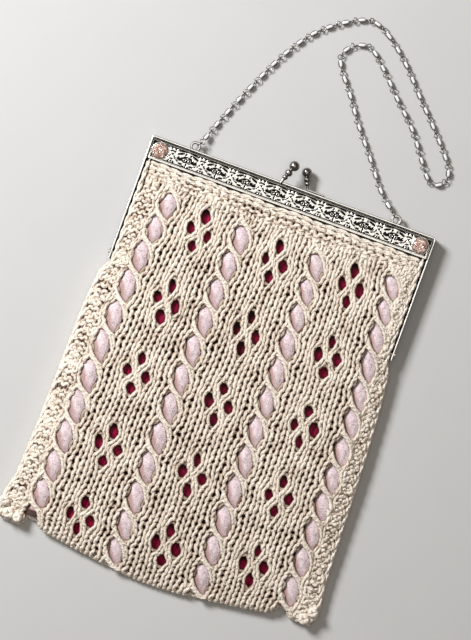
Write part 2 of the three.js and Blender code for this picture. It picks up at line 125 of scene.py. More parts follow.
# The top band: its height in rows, its upper edge, and its rows of plain and of purl knitting
BAND_ROWS, BAND_TOP = 2.78, 113.8
BAND_PLAIN, BAND_PURL = (-0.75, 0.1), (-2.3, -1.5)
# A stitch: steps along it, its sway and lean across in stitches, its reach up and down in rows, and how far
# its loop hangs below its row
STITCH_STEPS, STITCH_SWAY, STITCH_LEAN, STITCH_REACH = 14, 0.18, 0.03, 0.78
LOOP_DROP = 0.8
# Wander of a stitch: across in stitches, down in rows, proud, and in thickness, which has limits
WANDER = (0.03, 0.07, 0.16, 0.08)
THICK_LIMITS = (0.84, 1.18)
# How much more the borders and the top band wander than the panels, and a border's row in rows of a panel
BORDER_LOOSE, BAND_LOOSE, BORDER_ROW = 2.4, 1.8, 0.8
# Round the foot: rows past the last at which the yarn turns down, its fall in a row, and the lowest it lies
FOOT_TURN, FOOT_FALL, FOOT_LOW = 0.3, 2.6, 1.5
# Painted shade in the hollows between stitches: the share of its reach at which it is darkest, how far from
# the foot's edge it pales, and the least that is left there
HOLLOW_FULL, HOLLOW_FOOT, HOLLOW_LEAST = 0.57, 5, 0.15
# The back: its yarn as a share of the front's, how far a stitch stands proud and the limit of that, the
# lift of its middle, steps in a stitch, the stitch where its two widths meet, and its distance from the
# side edges, below the frame's arms and between them
BACK_YARN, BACK_RELIEF, BACK_PROUD, BACK_LIFT = 0.85, 0.45, 0.5, 0.52
BACK_STEPS, BACK_SEAM, BACK_INSET = 12, 17, (1.6, 4)
# How the knitting closes in on a ribbon at a crossing: depth, reach along the ribbon, reach in stitches
PINCH_DEPTH, PINCH_REACH, PINCH_STITCHES = 2.8, 4.2, 1.6
# Borders and panels: name, first stitch, last stitch, last row
PANELS = (
    ("knit_border_left", 0, 3, 47), ("knit_panel_left", 5, 12, 48), ("knit_panel_middle", 14, 21, 49),
    ("knit_panel_right", 23, 30, 50), ("knit_border_right", 32, 35, 50),
)
# Eyelet groups: the stitch and row of each middle, and the eyelets of a group
LACE_STITCHES = (8.5, 17.5, 26.5)
LACE_ROWS = (3.72, 13.72, 23.72, 33.72, 43.72)
EYELETS = np.array([(0, -2), (-1, 0), (1, 0), (0, 2)])
# An eyelet: its size, how that varies, its lean, the norm that points it, and the distances, in its sizes,
# at which its push has faded out and is whole
EYELET_SIZE, EYELET_VARY = (4.1, 5.8), (0.76, 1.1)
EYELET_LEAN, EYELET_NORM, EYELET_FADE = 0.3, 1.6, (2.6, 1.4)
# Coils of yarn on the lower corners: turns, thickness as a multiple of the cords', height, rise and fall,
# and the x, y and size of each
COIL_TURNS, COIL_YARN, COIL_HEIGHT, COIL_RISE = 3, 1.6, 7.4, 1.2
COILS = (
    (-103.6, -114, 1.7), (-98.5, -120.6, 1.9), (-92.5, -121.4, 1.5), (103, -114, 1.6), (99, -119.6, 1.8),
)
# How far a crossing falls from the ribbon's left edge to its middle
CROSSING_FALL = 2.9
# The two strands of a crossing from its middle: where each starts, two points that pull it, where it ends
STRANDS = np.array([
    ((-7, 2.6), (-0.9, 1.2), (6.3, -4.2), (6.7, -12.5)),
    ((7, -2.6), (0.9, -1.2), (-5.4, 3.6), (-6.1, 8.6)),
])
# How far a strand's ends lie under the front, how far it rises over the ribbon, its least distance from the
# foot's edge, its thickness as a share of the yarn's, and the reach of the painted shade in its hollows
STRAND_UNDER, STRAND_RISE, STRAND_FOOT = 3.6, 2.6, 1.5
STRAND_YARN, STRAND_HOLLOW = 0.92, 3
# The chain's route over the floor
ROUTE = np.array([
    (-64.6, 139.8), (-60.2, 152.9), (-52.1, 173.5), (-43.8, 192.4), (-34, 212), (-21.4, 229.9),
    (-4.2, 243.5), (10.5, 249.4), (24.1, 243.6), (39.9, 230.6), (55, 214.5), (70, 199.1), (85.1, 181.9),
    (89, 173.2), (85.7, 166.2), (78.4, 166.6), (70.4, 176.4), (57.8, 193.2), (42.3, 208.2), (27.7, 222.9),
    (15.5, 233), (6, 231.6), (-0.6, 224), (1.6, 215.4), (11.9, 202.3), (24.5, 184.8), (38.1, 168.3),
    (51.8, 150.8), (63.6, 139.8),
])
# Height of its points between the ends, and the lowest that its line may run
ROUTE_HEIGHT, ROUTE_LOW = 2.0, 1.9
# Beads: number, length, sides, radius at their ends and how far they swell
BEADS, BEAD_LENGTH, BEAD_SIDES = 46, 5.0, 16
BEAD_END, BEAD_SWELL = 0.7, 0.85
# A bead's wire eyes: width as their formula takes it, start inside the bead, and length beyond half the gap
# between beads, then for each the end it is at, its tilt from lying flat in radians, and its share of the
# width
EYE_WIDTH, EYE_START, EYE_BEYOND = 2.5, 0.2, 0.6
EYE_WAYS = ((-1, 0.12, 1), (1, 1.45, 0.75))
# The right eye of the frame, the radii of its ring and its wire, and those of the end link in it, with the
# distance between the middles of the two
EYE = (67.4, 136.2, 5)
EYE_REACH, EYE_WIRE = 2.65, 0.95
LINK, LINK_WIRE, LINK_OUT = 1.75, 0.4, 3.3
# Metal frame, back half: half its width, its top, thickness of its walls, height of its rim, foot and inner
# edge of its arms, half the flange's length and the flange's heights
HALF = 95
FRAME_TOP = 134
WALL, RIM = 1.2, 10
ARM_END, ARM_INNER = 52, 91.6
FLANGE_HALF, FLANGE = 90.4, (0.4, 5.6)
# Front half: its bar, width and heights of the bar's rims, height of the face, width and heights of its
# slim arms
BAR_BOTTOM, BAR_TOP, BAR_HALF = 119.1, 131.85, 92.7
BAR_EDGE, BAR_RIM = 0.7, (5.95, 12)
FACE = 11.2
SLIM_ARM, SLIM_HEIGHTS = 2, (3, 7)
# Edge cords of the bag: thickness as a share of the yarn's, reach of the plies, pitch
CORD_YARN, CORD_REACH, CORD_PITCH = 0.8, 0.6, 16
# Cords down a side: distance from the side edge, share of the way up to the front, upper end. Then where
# they end, how far in from the edge the front's height is read, the lowest's height, and how much less than
# the front's height the highest rises over that
SIDE_CORDS = ((1.4, 0, ARM_END - 2), (2.4, 0.5, ARM_END - 2), (1.9, 1, 117.6))
SIDE_CORD_END, SIDE_CORD_IN, SIDE_CORD_LOW, SIDE_CORD_LESS = -119, 1.5, 3, 3.9
# The cord along the foot: half its length, distance from the foot's edge, height, pitch
FOOT_CORD_HALF, FOOT_CORD_IN, FOOT_CORD_HEIGHT, FOOT_CORD_PITCH = 104, 1.6, 2.4, 6.6
# The cords along the mouth: half their length, where they lie, depth under the front, reach of the plies
MOUTH_CORD_HALF, MOUTH_CORDS, MOUTH_CORD_UNDER, MOUTH_CORD_REACH = 90, (116.9, 114.1), 1.8, 0.7
# Hinge rivet: its ends, and the turned pin: distance along, radius
RIVET_ENDS = np.array([(89.6, 56, 5), (96.1, 56, 5)])
RIVET = np.array([
    (0, 0), (0.001, 1.4), (0.25, 2), (0.8, 2), (0.801, 1.1), (5.699, 1.1), (5.7, 2), (6.25, 2), (6.5, 1.4),
    (6.501, 0),
])
# Corner stones: where their middles are, sides, and lift over the bar's face
STONE_X, STONE_Y = 86.9, 125.7
STONE_SIDES, STONE_LIFT = 12, 0.3
# A stone's cup: radius, height of its middle, and the width, height and rounding of its wall
CUP, CUP_HEIGHT, CUP_WALL = 5.32, 11.7, (0.55, 1.2, 0.25)
# Rings of a stone's facets from its foot up: radius, height, turn in steps
STONE_RINGS = np.array([
    (0, 0, 0), (4.6, 0, 0), (5.0, 0.7, 0), (4.3, 1.9, 0.5), (3.4, 2.4, 0), (2.2, 2.7, 0.5), (0, 2.7, 0),
])
# Filigree: half its length, its lower and upper end, the edges of its relief from the stones' middles, how
# high the relief starts over the face, its height and swell, and how far under the face it is closed
BAND_HALF, BAND_ENDS, BAND_EDGES = 92, (120.6, 130.9), (4.75, 5.2)
RELIEF_START, RELIEF_HEIGHT, RELIEF_SWELL, RELIEF_UNDER = 0.05, 0.72, 0.07, 0.4
# The middle and radius of a bull's-eye, and the clearing round a stone's cup
BULLS_EYE, BULLS_EYE_REACH, CUP_CLEAR = (1.6, -0.3), 1.35, (5.2, 5.5)
# One repeat of the filigree, mirrored left and right: x, y, half length, half height, turn of each cut
REPEAT = 19.7
CUTS = (
    (4.8, 2.8, 2.1, 0.5, -21), (1.6, 3.2, 0.55, 0.55, 0), (1.5, 1.5, 1.3, 0.4, -12),
    (1.6, -0.3, 0.5, 0.5, 0), (4.6, -0.6, 1.8, 0.7, 0), (3.6, 0.3, 0.5, 0.55, 0),
    (5.7, 0.3, 0.45, 0.5, 0), (0, -3, 0.35, 1.9, 0), (3.5, -3.3, 1.25, 0.42, 6), (1.7, -4.3, 0.5, 0.4, 0),
    (4.6, 4.6, 2.4, 0.34, -5), (1.3, 5, 1.1, 0.28, -18), (8.2, -4.1, 0.4, 0.95, -22),
    (9.85, -2, 1, 0.32, 0), (8.1, -0.7, 1.3, 0.24, 52), (9.85, 1, 0.6, 0.45, 0), (8.6, 4.6, 0.5, 0.6, 30),
    (8.9, 2.8, 0.9, 0.34, 10), (6, -2.2, 1, 0.26, 24), (9.85, -3.6, 0.5, 0.4, 0),
)
# Snap clasp: foot of the post, ball, and the turned post: share of the way to the ball, radius
CLASPS = (
    ("clasp_left", "clasp_ball_left", (-9.3, 132.6, 11.4), (-4.5, 145.7, 11.4)),
    ("clasp_right", "clasp_ball_right", (8.6, 134.8, 5), (4.3, 145, 5)),
)
POST = np.array([
    (0, 1), (0.25, 1), (0.3, 1.75), (0.4, 1.75), (0.45, 1.1), (0.54, 2.4), (0.67, 2.4), (0.73, 1.2),
])
BALL = 3.25
# The tab of the right one: x, y and z from and to, and the rounding of its edges
TAB = (8, 20, FRAME_TOP + 0.3, FRAME_TOP + 1.5, 3.8, 6.2, 0.5)
# Stage: half the floor's width, and, in metres, the point the lights aim at and each light's place, size
# and colour
FLOOR_HALF = 2500
AIM = (0, 0.05, 0)
KEY_LIGHT = ((-0.95, 0.5, 0.95), 0.4, (0.97, 0.985, 1))
TOP_LIGHT = ((0.1, 0.1, 2.2), 1.6, (1, 0.95, 0.89))
# Camera: place in metres, turn in degrees, height of its sensor, and how tall its view is at a distance
CAMERA_PLACE, CAMERA_TURN = (-0.0061, 0.0423, 1.406), 20.1
SENSOR, VIEW_TALL, VIEW_AWAY = 24, 0.4033, 1.4


# Numbers and points

def fade(value, start, end):
    """0 up to the start and 1 from the end on, straight between. The end may lie below the start."""
    return np.clip((value - start) / (end - start), 0, 1)


def unit(vectors):
    """Vectors brought to length 1."""
    return vectors / np.linalg.norm(vectors, axis=-1, keepdims=True)


def places(x, y, z):
    """Points from their coordinates, each spread to the shape of all three."""
    return np.stack(np.broadcast_arrays(x, y, z), axis=-1)


def lengths(paths):
    """Distance along each path at each of its points."""
    steps = np.linalg.norm(np.diff(paths, axis=-2), axis=-1)
    return np.concatenate([0 * steps[..., :1], np.cumsum(steps, axis=-1)], axis=-1)


# Bag: places and heights

def section(y, column):
    """A column of the bag's sections at height y, straight between the rows."""
    return np.interp(y, SECTIONS[:, 0], SECTIONS[:, column])


def foot_edge(x):
    """Height of the foot's edge at x, straight between its points."""
    return np.interp(x, FOOT[:, 0], FOOT[:, 1])


def front_top(x, y):
    """Height of the bag's front: from the side edges it rises to the middle as (1 - s^4)^0.45, with s from
    -1 to 1 across the bag."""
    left, right, edge, middle = (section(y, column) for column in (1, 2, 3, 4))
    s = np.clip((2 * x - left - right) / (right - left), -0.985, 0.985)
    return edge + (middle - edge) * (1 - s ** 4) ** 0.45


def front_normal(x, y, step=0.4):
    """Unit vector square to the bag's front, from the slopes of its height over a short step each way."""
    slope_x = (front_top(x + step, y) - front_top(x - step, y)) / (2 * step)
    slope_y = (front_top(x, y + step) - front_top(x, y - step)) / (2 * step)
    return unit(places(-slope_x, -slope_y, 1))


def ribbon_middle(i, y):
    """The middle of ribbon i at height y."""
    return np.interp(y, RIBBON_Y, RIBBON_X[i])


def ribbon_foot(i):
    """Height of ribbon i's lower end, a little above the foot's edge."""
    return foot_edge(ribbon_middle(i, RIBBON_Y[0])) + RIBBON_END


def crossings(i):
    """Heights at which the knitting crosses ribbon i: over its first window, between windows and under its
    last."""
    y = np.array(WINDOWS[i])
    last = max(y[-1] - LAST_CROSSING, ribbon_foot(i))
    return np.concatenate([[y[0] + FIRST_CROSSING], (y[:-1] + y[1:]) / 2, [last]])


def pinch(i, y):
    """How far the knitting closes in on ribbon i at height y: a bell at each crossing."""
    away = np.abs(np.asarray(y)[..., None] - crossings(i)).min(axis=-1)
    return PINCH_DEPTH * np.exp(-(away / PINCH_REACH) ** 2)


def chart_x(across, y, depth=1.0):
    """Where a stitch lies: its count across the bag, stretched evenly between the side edges and the edges
    of the ribbon columns at that height, and drawn in beside the ribbons by a share of the pinch."""
    knots = [section(y, 1) + EDGE_INSET]
    for i in range(len(RIBBON_X)):
        middle = ribbon_middle(i, y)
        knots += [middle - WINDOW_HALF, middle + WINDOW_HALF]
    knots.append(section(y, 2) - EDGE_INSET)
    x = knots[0]
    for k in range(len(WALES) - 1):
        x = x + fade(across, WALES[k], WALES[k + 1]) * (knots[k + 1] - knots[k])
    for i in range(len(RIBBON_X)):
        for edge, way in ((WALES[2 * i + 1], 1), (WALES[2 * i + 2], -1)):
            near = fade(np.abs(across - edge), PINCH_STITCHES, 0)
            x = x + depth * way * pinch(i, y - way * CROSSING_FALL) * near
    # a turn past the first or last stitch keeps the width of a stitch
    return x + END_STITCH * (np.minimum(across, 0) + np.maximum(across - WALES[-1], 0))


def rough_y(row):
    """Height of a row before its place across the bag is known: the rows of an even chart."""
    return ROUGH_TOP - ROUGH_PITCH * row


def chart_y(row, x, last_row):
    """Height of a row: even rows down from the row line at x, the last rows spread down to the foot's edge,
    and the rows of the top band spread up to the band's edge."""
    top = np.interp(x, CHART_X, ROW_TOP)
    pitch = np.interp(x, CHART_X, ROW_PITCH)
    low = top - EVEN_ROWS * pitch
    foot = foot_edge(x) + ROW_FOOT
    y = top - np.clip(row, 0, EVEN_ROWS) * pitch
    y = y + np.maximum(row - EVEN_ROWS, 0) / (last_row - EVEN_ROWS + LOOP_DROP) * (foot - low)
    return y + np.maximum(-row, 0) / BAND_ROWS * (BAND_TOP - top)


def eyelet_middles():
    """Middles of the eyelets: where the chart puts the stitches and rows between which the yarn parts."""
    stitch, row, out = np.meshgrid(LACE_STITCHES, LACE_ROWS, np.arange(len(EYELETS)), indexing="ij")
    stitch, row = (stitch + EYELETS[out, 0]).ravel(), (row + EYELETS[out, 1]).ravel()
    y = chart_y(row, chart_x(stitch, rough_y(row)), LAST_ROW)
    return np.column_stack([chart_x(stitch, y), y])


def open_eyelets(x, y):
    """Yarn pushed aside by the eyelets: a point's distance d from an eyelet's middle, 1 on its edge, is
    made (d^2 + 1)^0.5, which fades out further off. As d is a norm of the place less than 2, an eyelet is
    pointed above and below; eyelets lean to the left at the top and vary in size."""
    move_x, move_y = np.zeros_like(x), np.zeros_like(y)
    middles = eyelet_middles()
    sizes = EYELET_SIZE * np.random.default_rng(5).uniform(*EYELET_VARY, middles.shape)
    for (middle_x, middle_y), (wide, tall) in zip(middles, sizes):
        v = (y - middle_y) / tall
        u = (x - middle_x + EYELET_LEAN * tall * v) / wide
        d = (np.abs(u) ** EYELET_NORM + np.abs(v) ** EYELET_NORM) ** (1 / EYELET_NORM) + 1e-6
        push = (np.sqrt(d * d + 1) - d) * fade(d, *EYELET_FADE) / d
        move_x += push * (u * wide - EYELET_LEAN * v * tall)
        move_y += push * v * tall
    return x + move_x, y + move_y


# Shapes: each is (points, quads, map of each quad's corners)

def grid_quads(rows, columns, wrap_rows=False, wrap_columns=False):
    """Quads of a grid of points, row by row, wrapped round where asked."""
    i = np.arange(rows if wrap_rows else rows - 1)[:, None]
    j = np.arange(columns if wrap_columns else columns - 1)
    i2, j2 = (i + 1) % rows, (j + 1) % columns
    quads = [i * columns + j, i * columns + j2, i2 * columns + j2, i2 * columns + j]
    return np.stack(quads, axis=-1).reshape(-1, 4)


def grid_map(along, around):
    """Map of the quads of one or more grids: the way along by grid and row, the way around by column."""
    lines = [along[:, :-1], along[:, :-1], along[:, 1:], along[:, 1:]]
    columns = [around[:-1], around[1:], around[1:], around[:-1]]
    u = np.stack(lines, axis=-1)[:, :, None, :]
    v = np.stack(columns, axis=-1)[None, None, :, :]
    return np.stack(np.broadcast_arrays(u, v), axis=-1).reshape(-1, 4, 2)


def surface(points, wrap_rows=False, wrap_columns=False):
    """A grid of points as a surface, wrapped round where asked, mapped in millimetres along its middle
    row and column."""
    rows, columns = points.shape[:2]
    along = lengths(points[np.arange(rows + wrap_rows) % rows, columns // 2])
    across = lengths(points[rows // 2, np.arange(columns + wrap_columns) % columns])
    quads = grid_quads(rows, columns, wrap_rows, wrap_columns)
    return points.reshape(-1, 3), quads, grid_map(along[None], across)


def sweep(paths, profile, scale=1.0, up=(0, 0, 1), closed=False, pointed=False):
    """A profile carried along one or more paths: a point is the path plus scale times (p across + q over),
    where across is square to the path and to up, or lies along x where the path runs along up, and over is
    square to both. A pointed sweep is drawn to a point at its ends."""
    paths = np.asarray(paths, float)
    paths = paths.reshape((-1,) + paths.shape[-2:])
    scale = np.array(np.broadcast_to(scale, paths.shape[:2]), float)
    if pointed:
        scale[:, [0, -1]] = 0
    if closed:
        tangent = unit(np.roll(paths, -1, axis=1) - np.roll(paths, 1, axis=1))
        line = np.concatenate([paths, paths[:, :1]], axis=1)
    else:
        tangent = unit(np.gradient(paths, axis=1))
        line = paths
    across = unit(np.cross(np.broadcast_to(up, tangent.shape), tangent) + (1e-9, 0, 0))
    over = np.cross(tangent, across)
    p, q = np.asarray(profile, float).T[:, :, None]
    offset = p * across[:, :, None, :] + q * over[:, :, None, :]
    points = paths[:, :, None, :] + scale[:, :, None, None] * offset
    many, steps, sides = points.shape[:3]
    quads = grid_quads(steps, sides, wrap_rows=closed, wrap_columns=True)
    quads = quads + (np.arange(many) * steps * sides)[:, None, None]
    corners = grid_map(lengths(line), np.linspace(0, 1, sides + 1))
    return points.reshape(-1, 3), quads.reshape(-1, 4), corners


def circle(sides):
    """A unit circle as a profile."""
    a = 2 * pi * np.arange(sides) / sides
    return np.stack([np.cos(a), np.sin(a)], axis=-1)


def rounded(width, height, radius):
    """A rectangle with rounded corners as a profile: quarter circles of the radius about four middles."""
    turns = np.linspace(0, pi / 2, 4) + (pi / 2 * np.arange(4))[:, None]
    side = np.array([1, -1, -1, 1])[:, None] * (width / 2 - radius)
    rise = np.array([1, 1, -1, -1])[:, None] * (height / 2 - radius)
    return np.stack([side + radius * np.cos(turns), rise + radius * np.sin(turns)], axis=-1).reshape(-1, 2)


def ring(middle, reach, steps, first=(1, 0, 0), second=(0, 1, 0)):
    """A circle of points about a middle, which turns from the first direction to the second."""
    a = 2 * pi * np.arange(steps)[:, None] / steps
    return np.asarray(middle) + reach * (np.cos(a) * first + np.sin(a) * second)


def rod(paths, radius, sides, up=(0, 0, 1), closed=False):
    """A round rod along one or more paths, drawn to a point at its ends unless it is closed."""
    return sweep(paths, circle(sides), radius, up, closed, pointed=not closed)


def bar(first, last, profile):
    """A straight bar of a profile between two points, each flat end drawn to a point in a tiny step."""
    first, last = np.array(first, float), np.array(last, float)
    step = (last - first) * 1e-5
    return sweep([first - step, first, last, last + step], profile, pointed=True)


def block(x0, x1, y0, y1, z0, z1, radius=0.25):
    """A bar along x with rounded long edges, between two corners."""
    y, z = (y0 + y1) / 2, (z0 + z1) / 2
    return bar((x0, y, z), (x1, y, z), rounded(y1 - y0, z1 - z0, radius))


def post(x0, x1, y0, y1, z0, z1, radius=0.25):
    """A bar along y with rounded long edges, between two corners."""
    x, z = (x0 + x1) / 2, (z0 + z1) / 2
    return bar((x, y0, z), (x, y1, z), rounded(abs(x1 - x0), z1 - z0, radius))


def turned(foot, tip, along, radius, sides):
    """A turned shape on the line from foot to tip: a circle of each radius at each distance along it."""
    axis = unit(np.subtract(tip, foot))
    return sweep(foot + np.outer(along, axis), circle(sides), radius)


def twisted(path, reach, pitch, plies=2):
    """The plies of a cord: each winds round the path at the reach, once in every pitch of its length."""
    tangent = np.gradient(path, axis=0)
    across = unit(np.cross((0, 0, 1), tangent))
    over = unit(np.cross(tangent, across))
    turn = 2 * pi * (lengths(path) / pitch + np.arange(plies)[:, None] / plies)
    return path + reach * (np.cos(turn)[..., None] * across + np.sin(turn)[..., None] * over)


def joined(shapes):
    """Several shapes as one."""
    points, quads, corners = zip(*shapes)
    starts = np.cumsum([0] + [len(part) for part in points])
    quads = [part + start for part, start in zip(quads, starts)]
    return np.concatenate(points), np.concatenate(quads), np.concatenate(corners)


def add_piece(name, shape, material, nodes, sharp=None, values=None):
    """Puts a shape into a mesh object in metres, closes its poles, and ties it to the frame. Values, where
    given, are one number a point, kept as the attribute painted_shade_and_patina that the finishes read:
    how much painted shade a point gets, and on the metal also how black its patina is."""
    points, quads, corners = shape
    if not np.isfinite(points).all():
        raise RuntimeError(f"{name}: some points have no place")
    mesh = bpy.data.meshes.new(name)
    mesh.vertices.add(len(points))
    mesh.vertices.foreach_set("co", (points * MM).astype(np.float32).ravel())
    mesh.loops.add(quads.size)
    mesh.loops.foreach_set("vertex_index", quads.astype(np.int32).ravel())
    mesh.polygons.add(len(quads))
    mesh.polygons.foreach_set("loop_start", np.arange(0, quads.size, 4, dtype=np.int32))
    mesh.uv_layers.new(name="UVMap").data.foreach_set("uv", corners.astype(np.float32).ravel())
    if values is not None:
        # How much painted shade each point gets, and on the metal also its patina
        painted_shade_and_patina = mesh.attributes.new("painted_shade_and_patina", "FLOAT", "POINT")
        painted_shade_and_patina.data.foreach_set("value", values.astype(np.float32))
    mesh.update(calc_edges=True)
    work = bmesh.new()
    work.from_mesh(mesh)
    bmesh.ops.remove_doubles(work, verts=work.verts, dist=1e-6)
    work.to_mesh(mesh)
    work.free()
    mesh.polygons.foreach_set("use_smooth", np.ones(len(mesh.polygons), dtype=bool))
    if sharp is not None:
        mesh.set_sharp_from_angle(angle=radians(sharp))
    if mesh.validate():
        raise RuntimeError(f"{name}: the mesh had faults")
    mesh.materials.append(material)
    piece = bpy.data.objects.new(name, mesh)
    bpy.context.scene.collection.objects.link(piece)
    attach(piece, "root")
    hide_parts(*nodes)
    return piece


# Finishes

def tone(colour, share=1.0):
    """A colour made lighter or darker, with its alpha."""
    return tuple(min(1.0, c * share) for c in colour[:3]) + (1.0,)


class Finish:
    """A material's node tree, with short ways to add nodes and join them."""

    def __init__(self, name, **sockets):
        self.material = bpy.data.materials.new(name)
        self.material.use_nodes = True
        self.tree = self.material.node_tree
        self.shader = self.tree.nodes["Principled BSDF"]
        for socket, value in sockets.items():
            self.shader.inputs[socket.replace("_", " ")].default_value = value

    def node(self, kind, inputs=None, **settings):
        made = self.tree.nodes.new(kind)
        for key, value in settings.items():
            setattr(made, key, value)
        for key, value in (inputs or {}).items():
            if isinstance(value, bpy.types.NodeSocket):
                self.tree.links.new(value, made.inputs[key])
            else:
                made.inputs[key].default_value = value
        return made

    def feed(self, socket, output):
        self.tree.links.new(output, self.shader.inputs[socket])

    def coords(self, kind, scale=(1, 1, 1)):
        where = self.node("ShaderNodeTexCoord").outputs[kind]
        return self.node("ShaderNodeMapping", {"Vector": where, "Scale": scale}).outputs["Vector"]

    def noise(self, where, scale, detail=3.0):
        inputs = {"Vector": where, "Scale": scale, "Detail": detail}
        return self.node("ShaderNodeTexNoise", inputs).outputs["Fac"]

    def math(self, operation, first, second=0.5):
        return self.node("ShaderNodeMath", {0: first, 1: second}, operation=operation).outputs[0]

    def blend(self, *parts):
        """The sum of several values, each times its share."""
        total, *rest = (self.math("MULTIPLY", value, share) for value, share in parts)
        for part in rest:
            total = self.math("ADD", total, part)
        return total

    def ramp(self, factor, *stops):
        made = self.node("ShaderNodeValToRGB", {"Fac": factor})
        elements = made.color_ramp.elements
        elements[0].position, elements[0].color = stops[0]
        elements[1].position, elements[1].color = stops[-1]
        for place, colour in stops[1:-1]:
            elements.new(place).color = colour
        return made.outputs["Color"]

    def tones(self, factor, colour, *stops):
        return self.ramp(factor, *((place, tone(colour, share)) for place, share in stops))

    def greys(self, factor, start, end, low=0.0, high=1.0):
        return self.tones(factor, (1, 1, 1), (start, low), (end, high))

    # The attribute that tells each point's painted shade, and on the metal its patina
    def painted_shade_and_patina(self):
        return self.node("ShaderNodeAttribute", attribute_name="painted_shade_and_patina").outputs["Fac"]

    def mix(self, factor, first, second):
        inputs = {0: factor, 6: first, 7: second}
        return self.node("ShaderNodeMix", inputs, data_type="RGBA").outputs[2]

    def bump(self, height, strength, distance):
        inputs = {"Height": height, "Strength": strength, "Distance": distance}
        self.feed("Normal", self.node("ShaderNodeBump", inputs).outputs["Normal"])


def cotton_finish(colour, hollow_shade):
    """Plied cotton: three plies wind round the yarn as a sine wave along the map, painted lighter and
    darker as highlight and shade on each ply; fibres run with them, slubs swell here and there, the cream
    drifts over the bag, and painted shade, warm tan and then dark brown, fills the hollows between
    stitches."""
    made = Finish("cotton_yarn", Roughness=0.7, Specular_IOR_Level=0.1, Sheen_Weight=0.04)
    place = made.node("ShaderNodeSeparateXYZ", {"Vector": made.coords("UV")}).outputs
    turn = made.blend((place["X"], 0.3), (place["Y"], 3.0))
    ply = made.math("MULTIPLY_ADD", made.math("SINE", made.math("MULTIPLY", turn, 2 * pi)), 0.5)
    fibre = made.noise(made.coords("UV", (0.9, 14, 1)), 2.0, 4.0)
    drift = made.noise(made.coords("Object"), 120.0)
    slub = made.noise(made.coords("Object"), 650.0, 2.0)
    # The ply term paints highlight and shade on each ply; fibres, drift and slubs vary the cream at random
    mixed = made.blend((ply, 0.14), (fibre, 0.36), (drift, 0.3), (slub, 0.5))
    # Warm tan: the yarn where the noise runs low, shade painted between plies, and painted shade in hollows
    warm_tone_and_shade = tuple(c ** 3 for c in colour) + (1.0,)
    cream = made.ramp(mixed, (0.4, warm_tone_and_shade), (0.64, tone(colour, 1.02)), (0.84, tone(colour, 1.16)))
    # Painted shade in the hollows between stitches: warm tan first, then dark brown
    deep = made.painted_shade_and_patina()
    dark = made.greys(deep, 0.25, 0.95)
    made.feed("Base Color", made.mix(dark, made.mix(deep, cream, warm_tone_and_shade), tone(hollow_shade)))
    made.bump(made.blend((ply, 0.6), (slub, 2.0)), 0.8, 0.0005)
    return made.material


def velvet_finish(colour, shadow):
    """Velvet ribbon: a short nap in fine noise, crushed patches that lie lighter and darker, a deeper pink
    as painted shade where the knitting shades it, and a darker painted shade at its end."""
    made = Finish("ribbon_velvet", Roughness=0.75, Specular_IOR_Level=0.2, Sheen_Weight=0.2,
                  Sheen_Roughness=0.4)
    where = made.coords("Object")
    nap = made.noise(where, 1300.0, 2.0)
    crush = made.noise(where, 260.0)
    mixed = made.blend((nap, 0.7), (crush, 0.4))
    pile = made.tones(mixed, colour, (0.4, 0.6), (0.54, 1), (0.68, 1.2))
    # How much painted shade a point of the ribbon gets; past 0.87, at the ribbon's end, it is darker still
    deep = made.painted_shade_and_patina()
    end = made.greys(deep, 0.87, 1.0)
    made.feed("Base Color", made.mix(end, made.mix(deep, pile, tone(shadow)), tone(shadow, 0.2)))
    made.bump(made.math("ADD", nap, crush), 0.5, 0.0005)
    return made.material


def satin_finish(colour, dark):
    """Lining satin: a fine ribbed weave with lighter streaks of painted sheen down the cloth, and painted
    shade, dark, where the knitting covers it."""
    made = Finish("lining_satin", Roughness=0.4, Specular_IOR_Level=0.06)
    weave = made.noise(made.coords("Object", (300, 2600, 300)), 1.0, 1.0)
    # Painted sheen: lighter streaks down the cloth
    sheen = made.noise(made.coords("Object", (700, 140, 1)), 1.0, 2.0)
    mixed = made.blend((weave, 0.3), (sheen, 0.7))
    cloth = made.tones(mixed, colour, (0.35, 0.6), (0.52, 1), (0.66, 2))
    # Painted shade where the knitting covers the lining
    made.feed("Base Color", made.mix(made.painted_shade_and_patina(), cloth, tone(dark)))
    made.bump(weave, 0.2, 0.0002)
    return made.material


def silver_finish(name, colour, painted_shade_and_patina):
    """Antiqued silver: faint smears in the roughness, blackened where the pieces mark it, as patina in the
    cuts and painted shade in the grooves and on the sides, with a ragged edge to the black."""
    made = Finish(name, Metallic=1.0)
    smear = made.noise(made.coords("Object", (1, 4, 1)), 260.0, 4.0)
    made.feed("Roughness", made.greys(smear, 0.3, 0.75, 0.2, 0.4))
    bright = made.tones(smear, colour, (0.3, 1), (0.8, 0.86))
    # Black by the attribute: patina in the cuts, painted shade in the grooves and on the sides
    black = made.greys(made.blend((made.painted_shade_and_patina(), 1.0), (smear, 0.2)), 0.3, 0.55)
    made.feed("Base Color", made.mix(black, bright, tone(painted_shade_and_patina)))
    made.bump(made.noise(made.coords("Object"), 900.0), 0.06, 0.0002)
    return made.material


def glass_finish(foil, bead_shade):
    """Bead glass over bright foil, a little crumpled, with painted shade on its sides and underneath."""
    made = Finish("clear_glass", Transmission_Weight=0.12, IOR=1.5, Roughness=0.06)
    crumple = made.noise(made.coords("Object"), 900.0)
    bright = made.tones(crumple, foil, (0.3, 0.9), (0.7, 1.03))
    made.feed("Base Color", made.mix(made.painted_shade_and_patina(), bright, tone(bead_shade)))
    return made.material


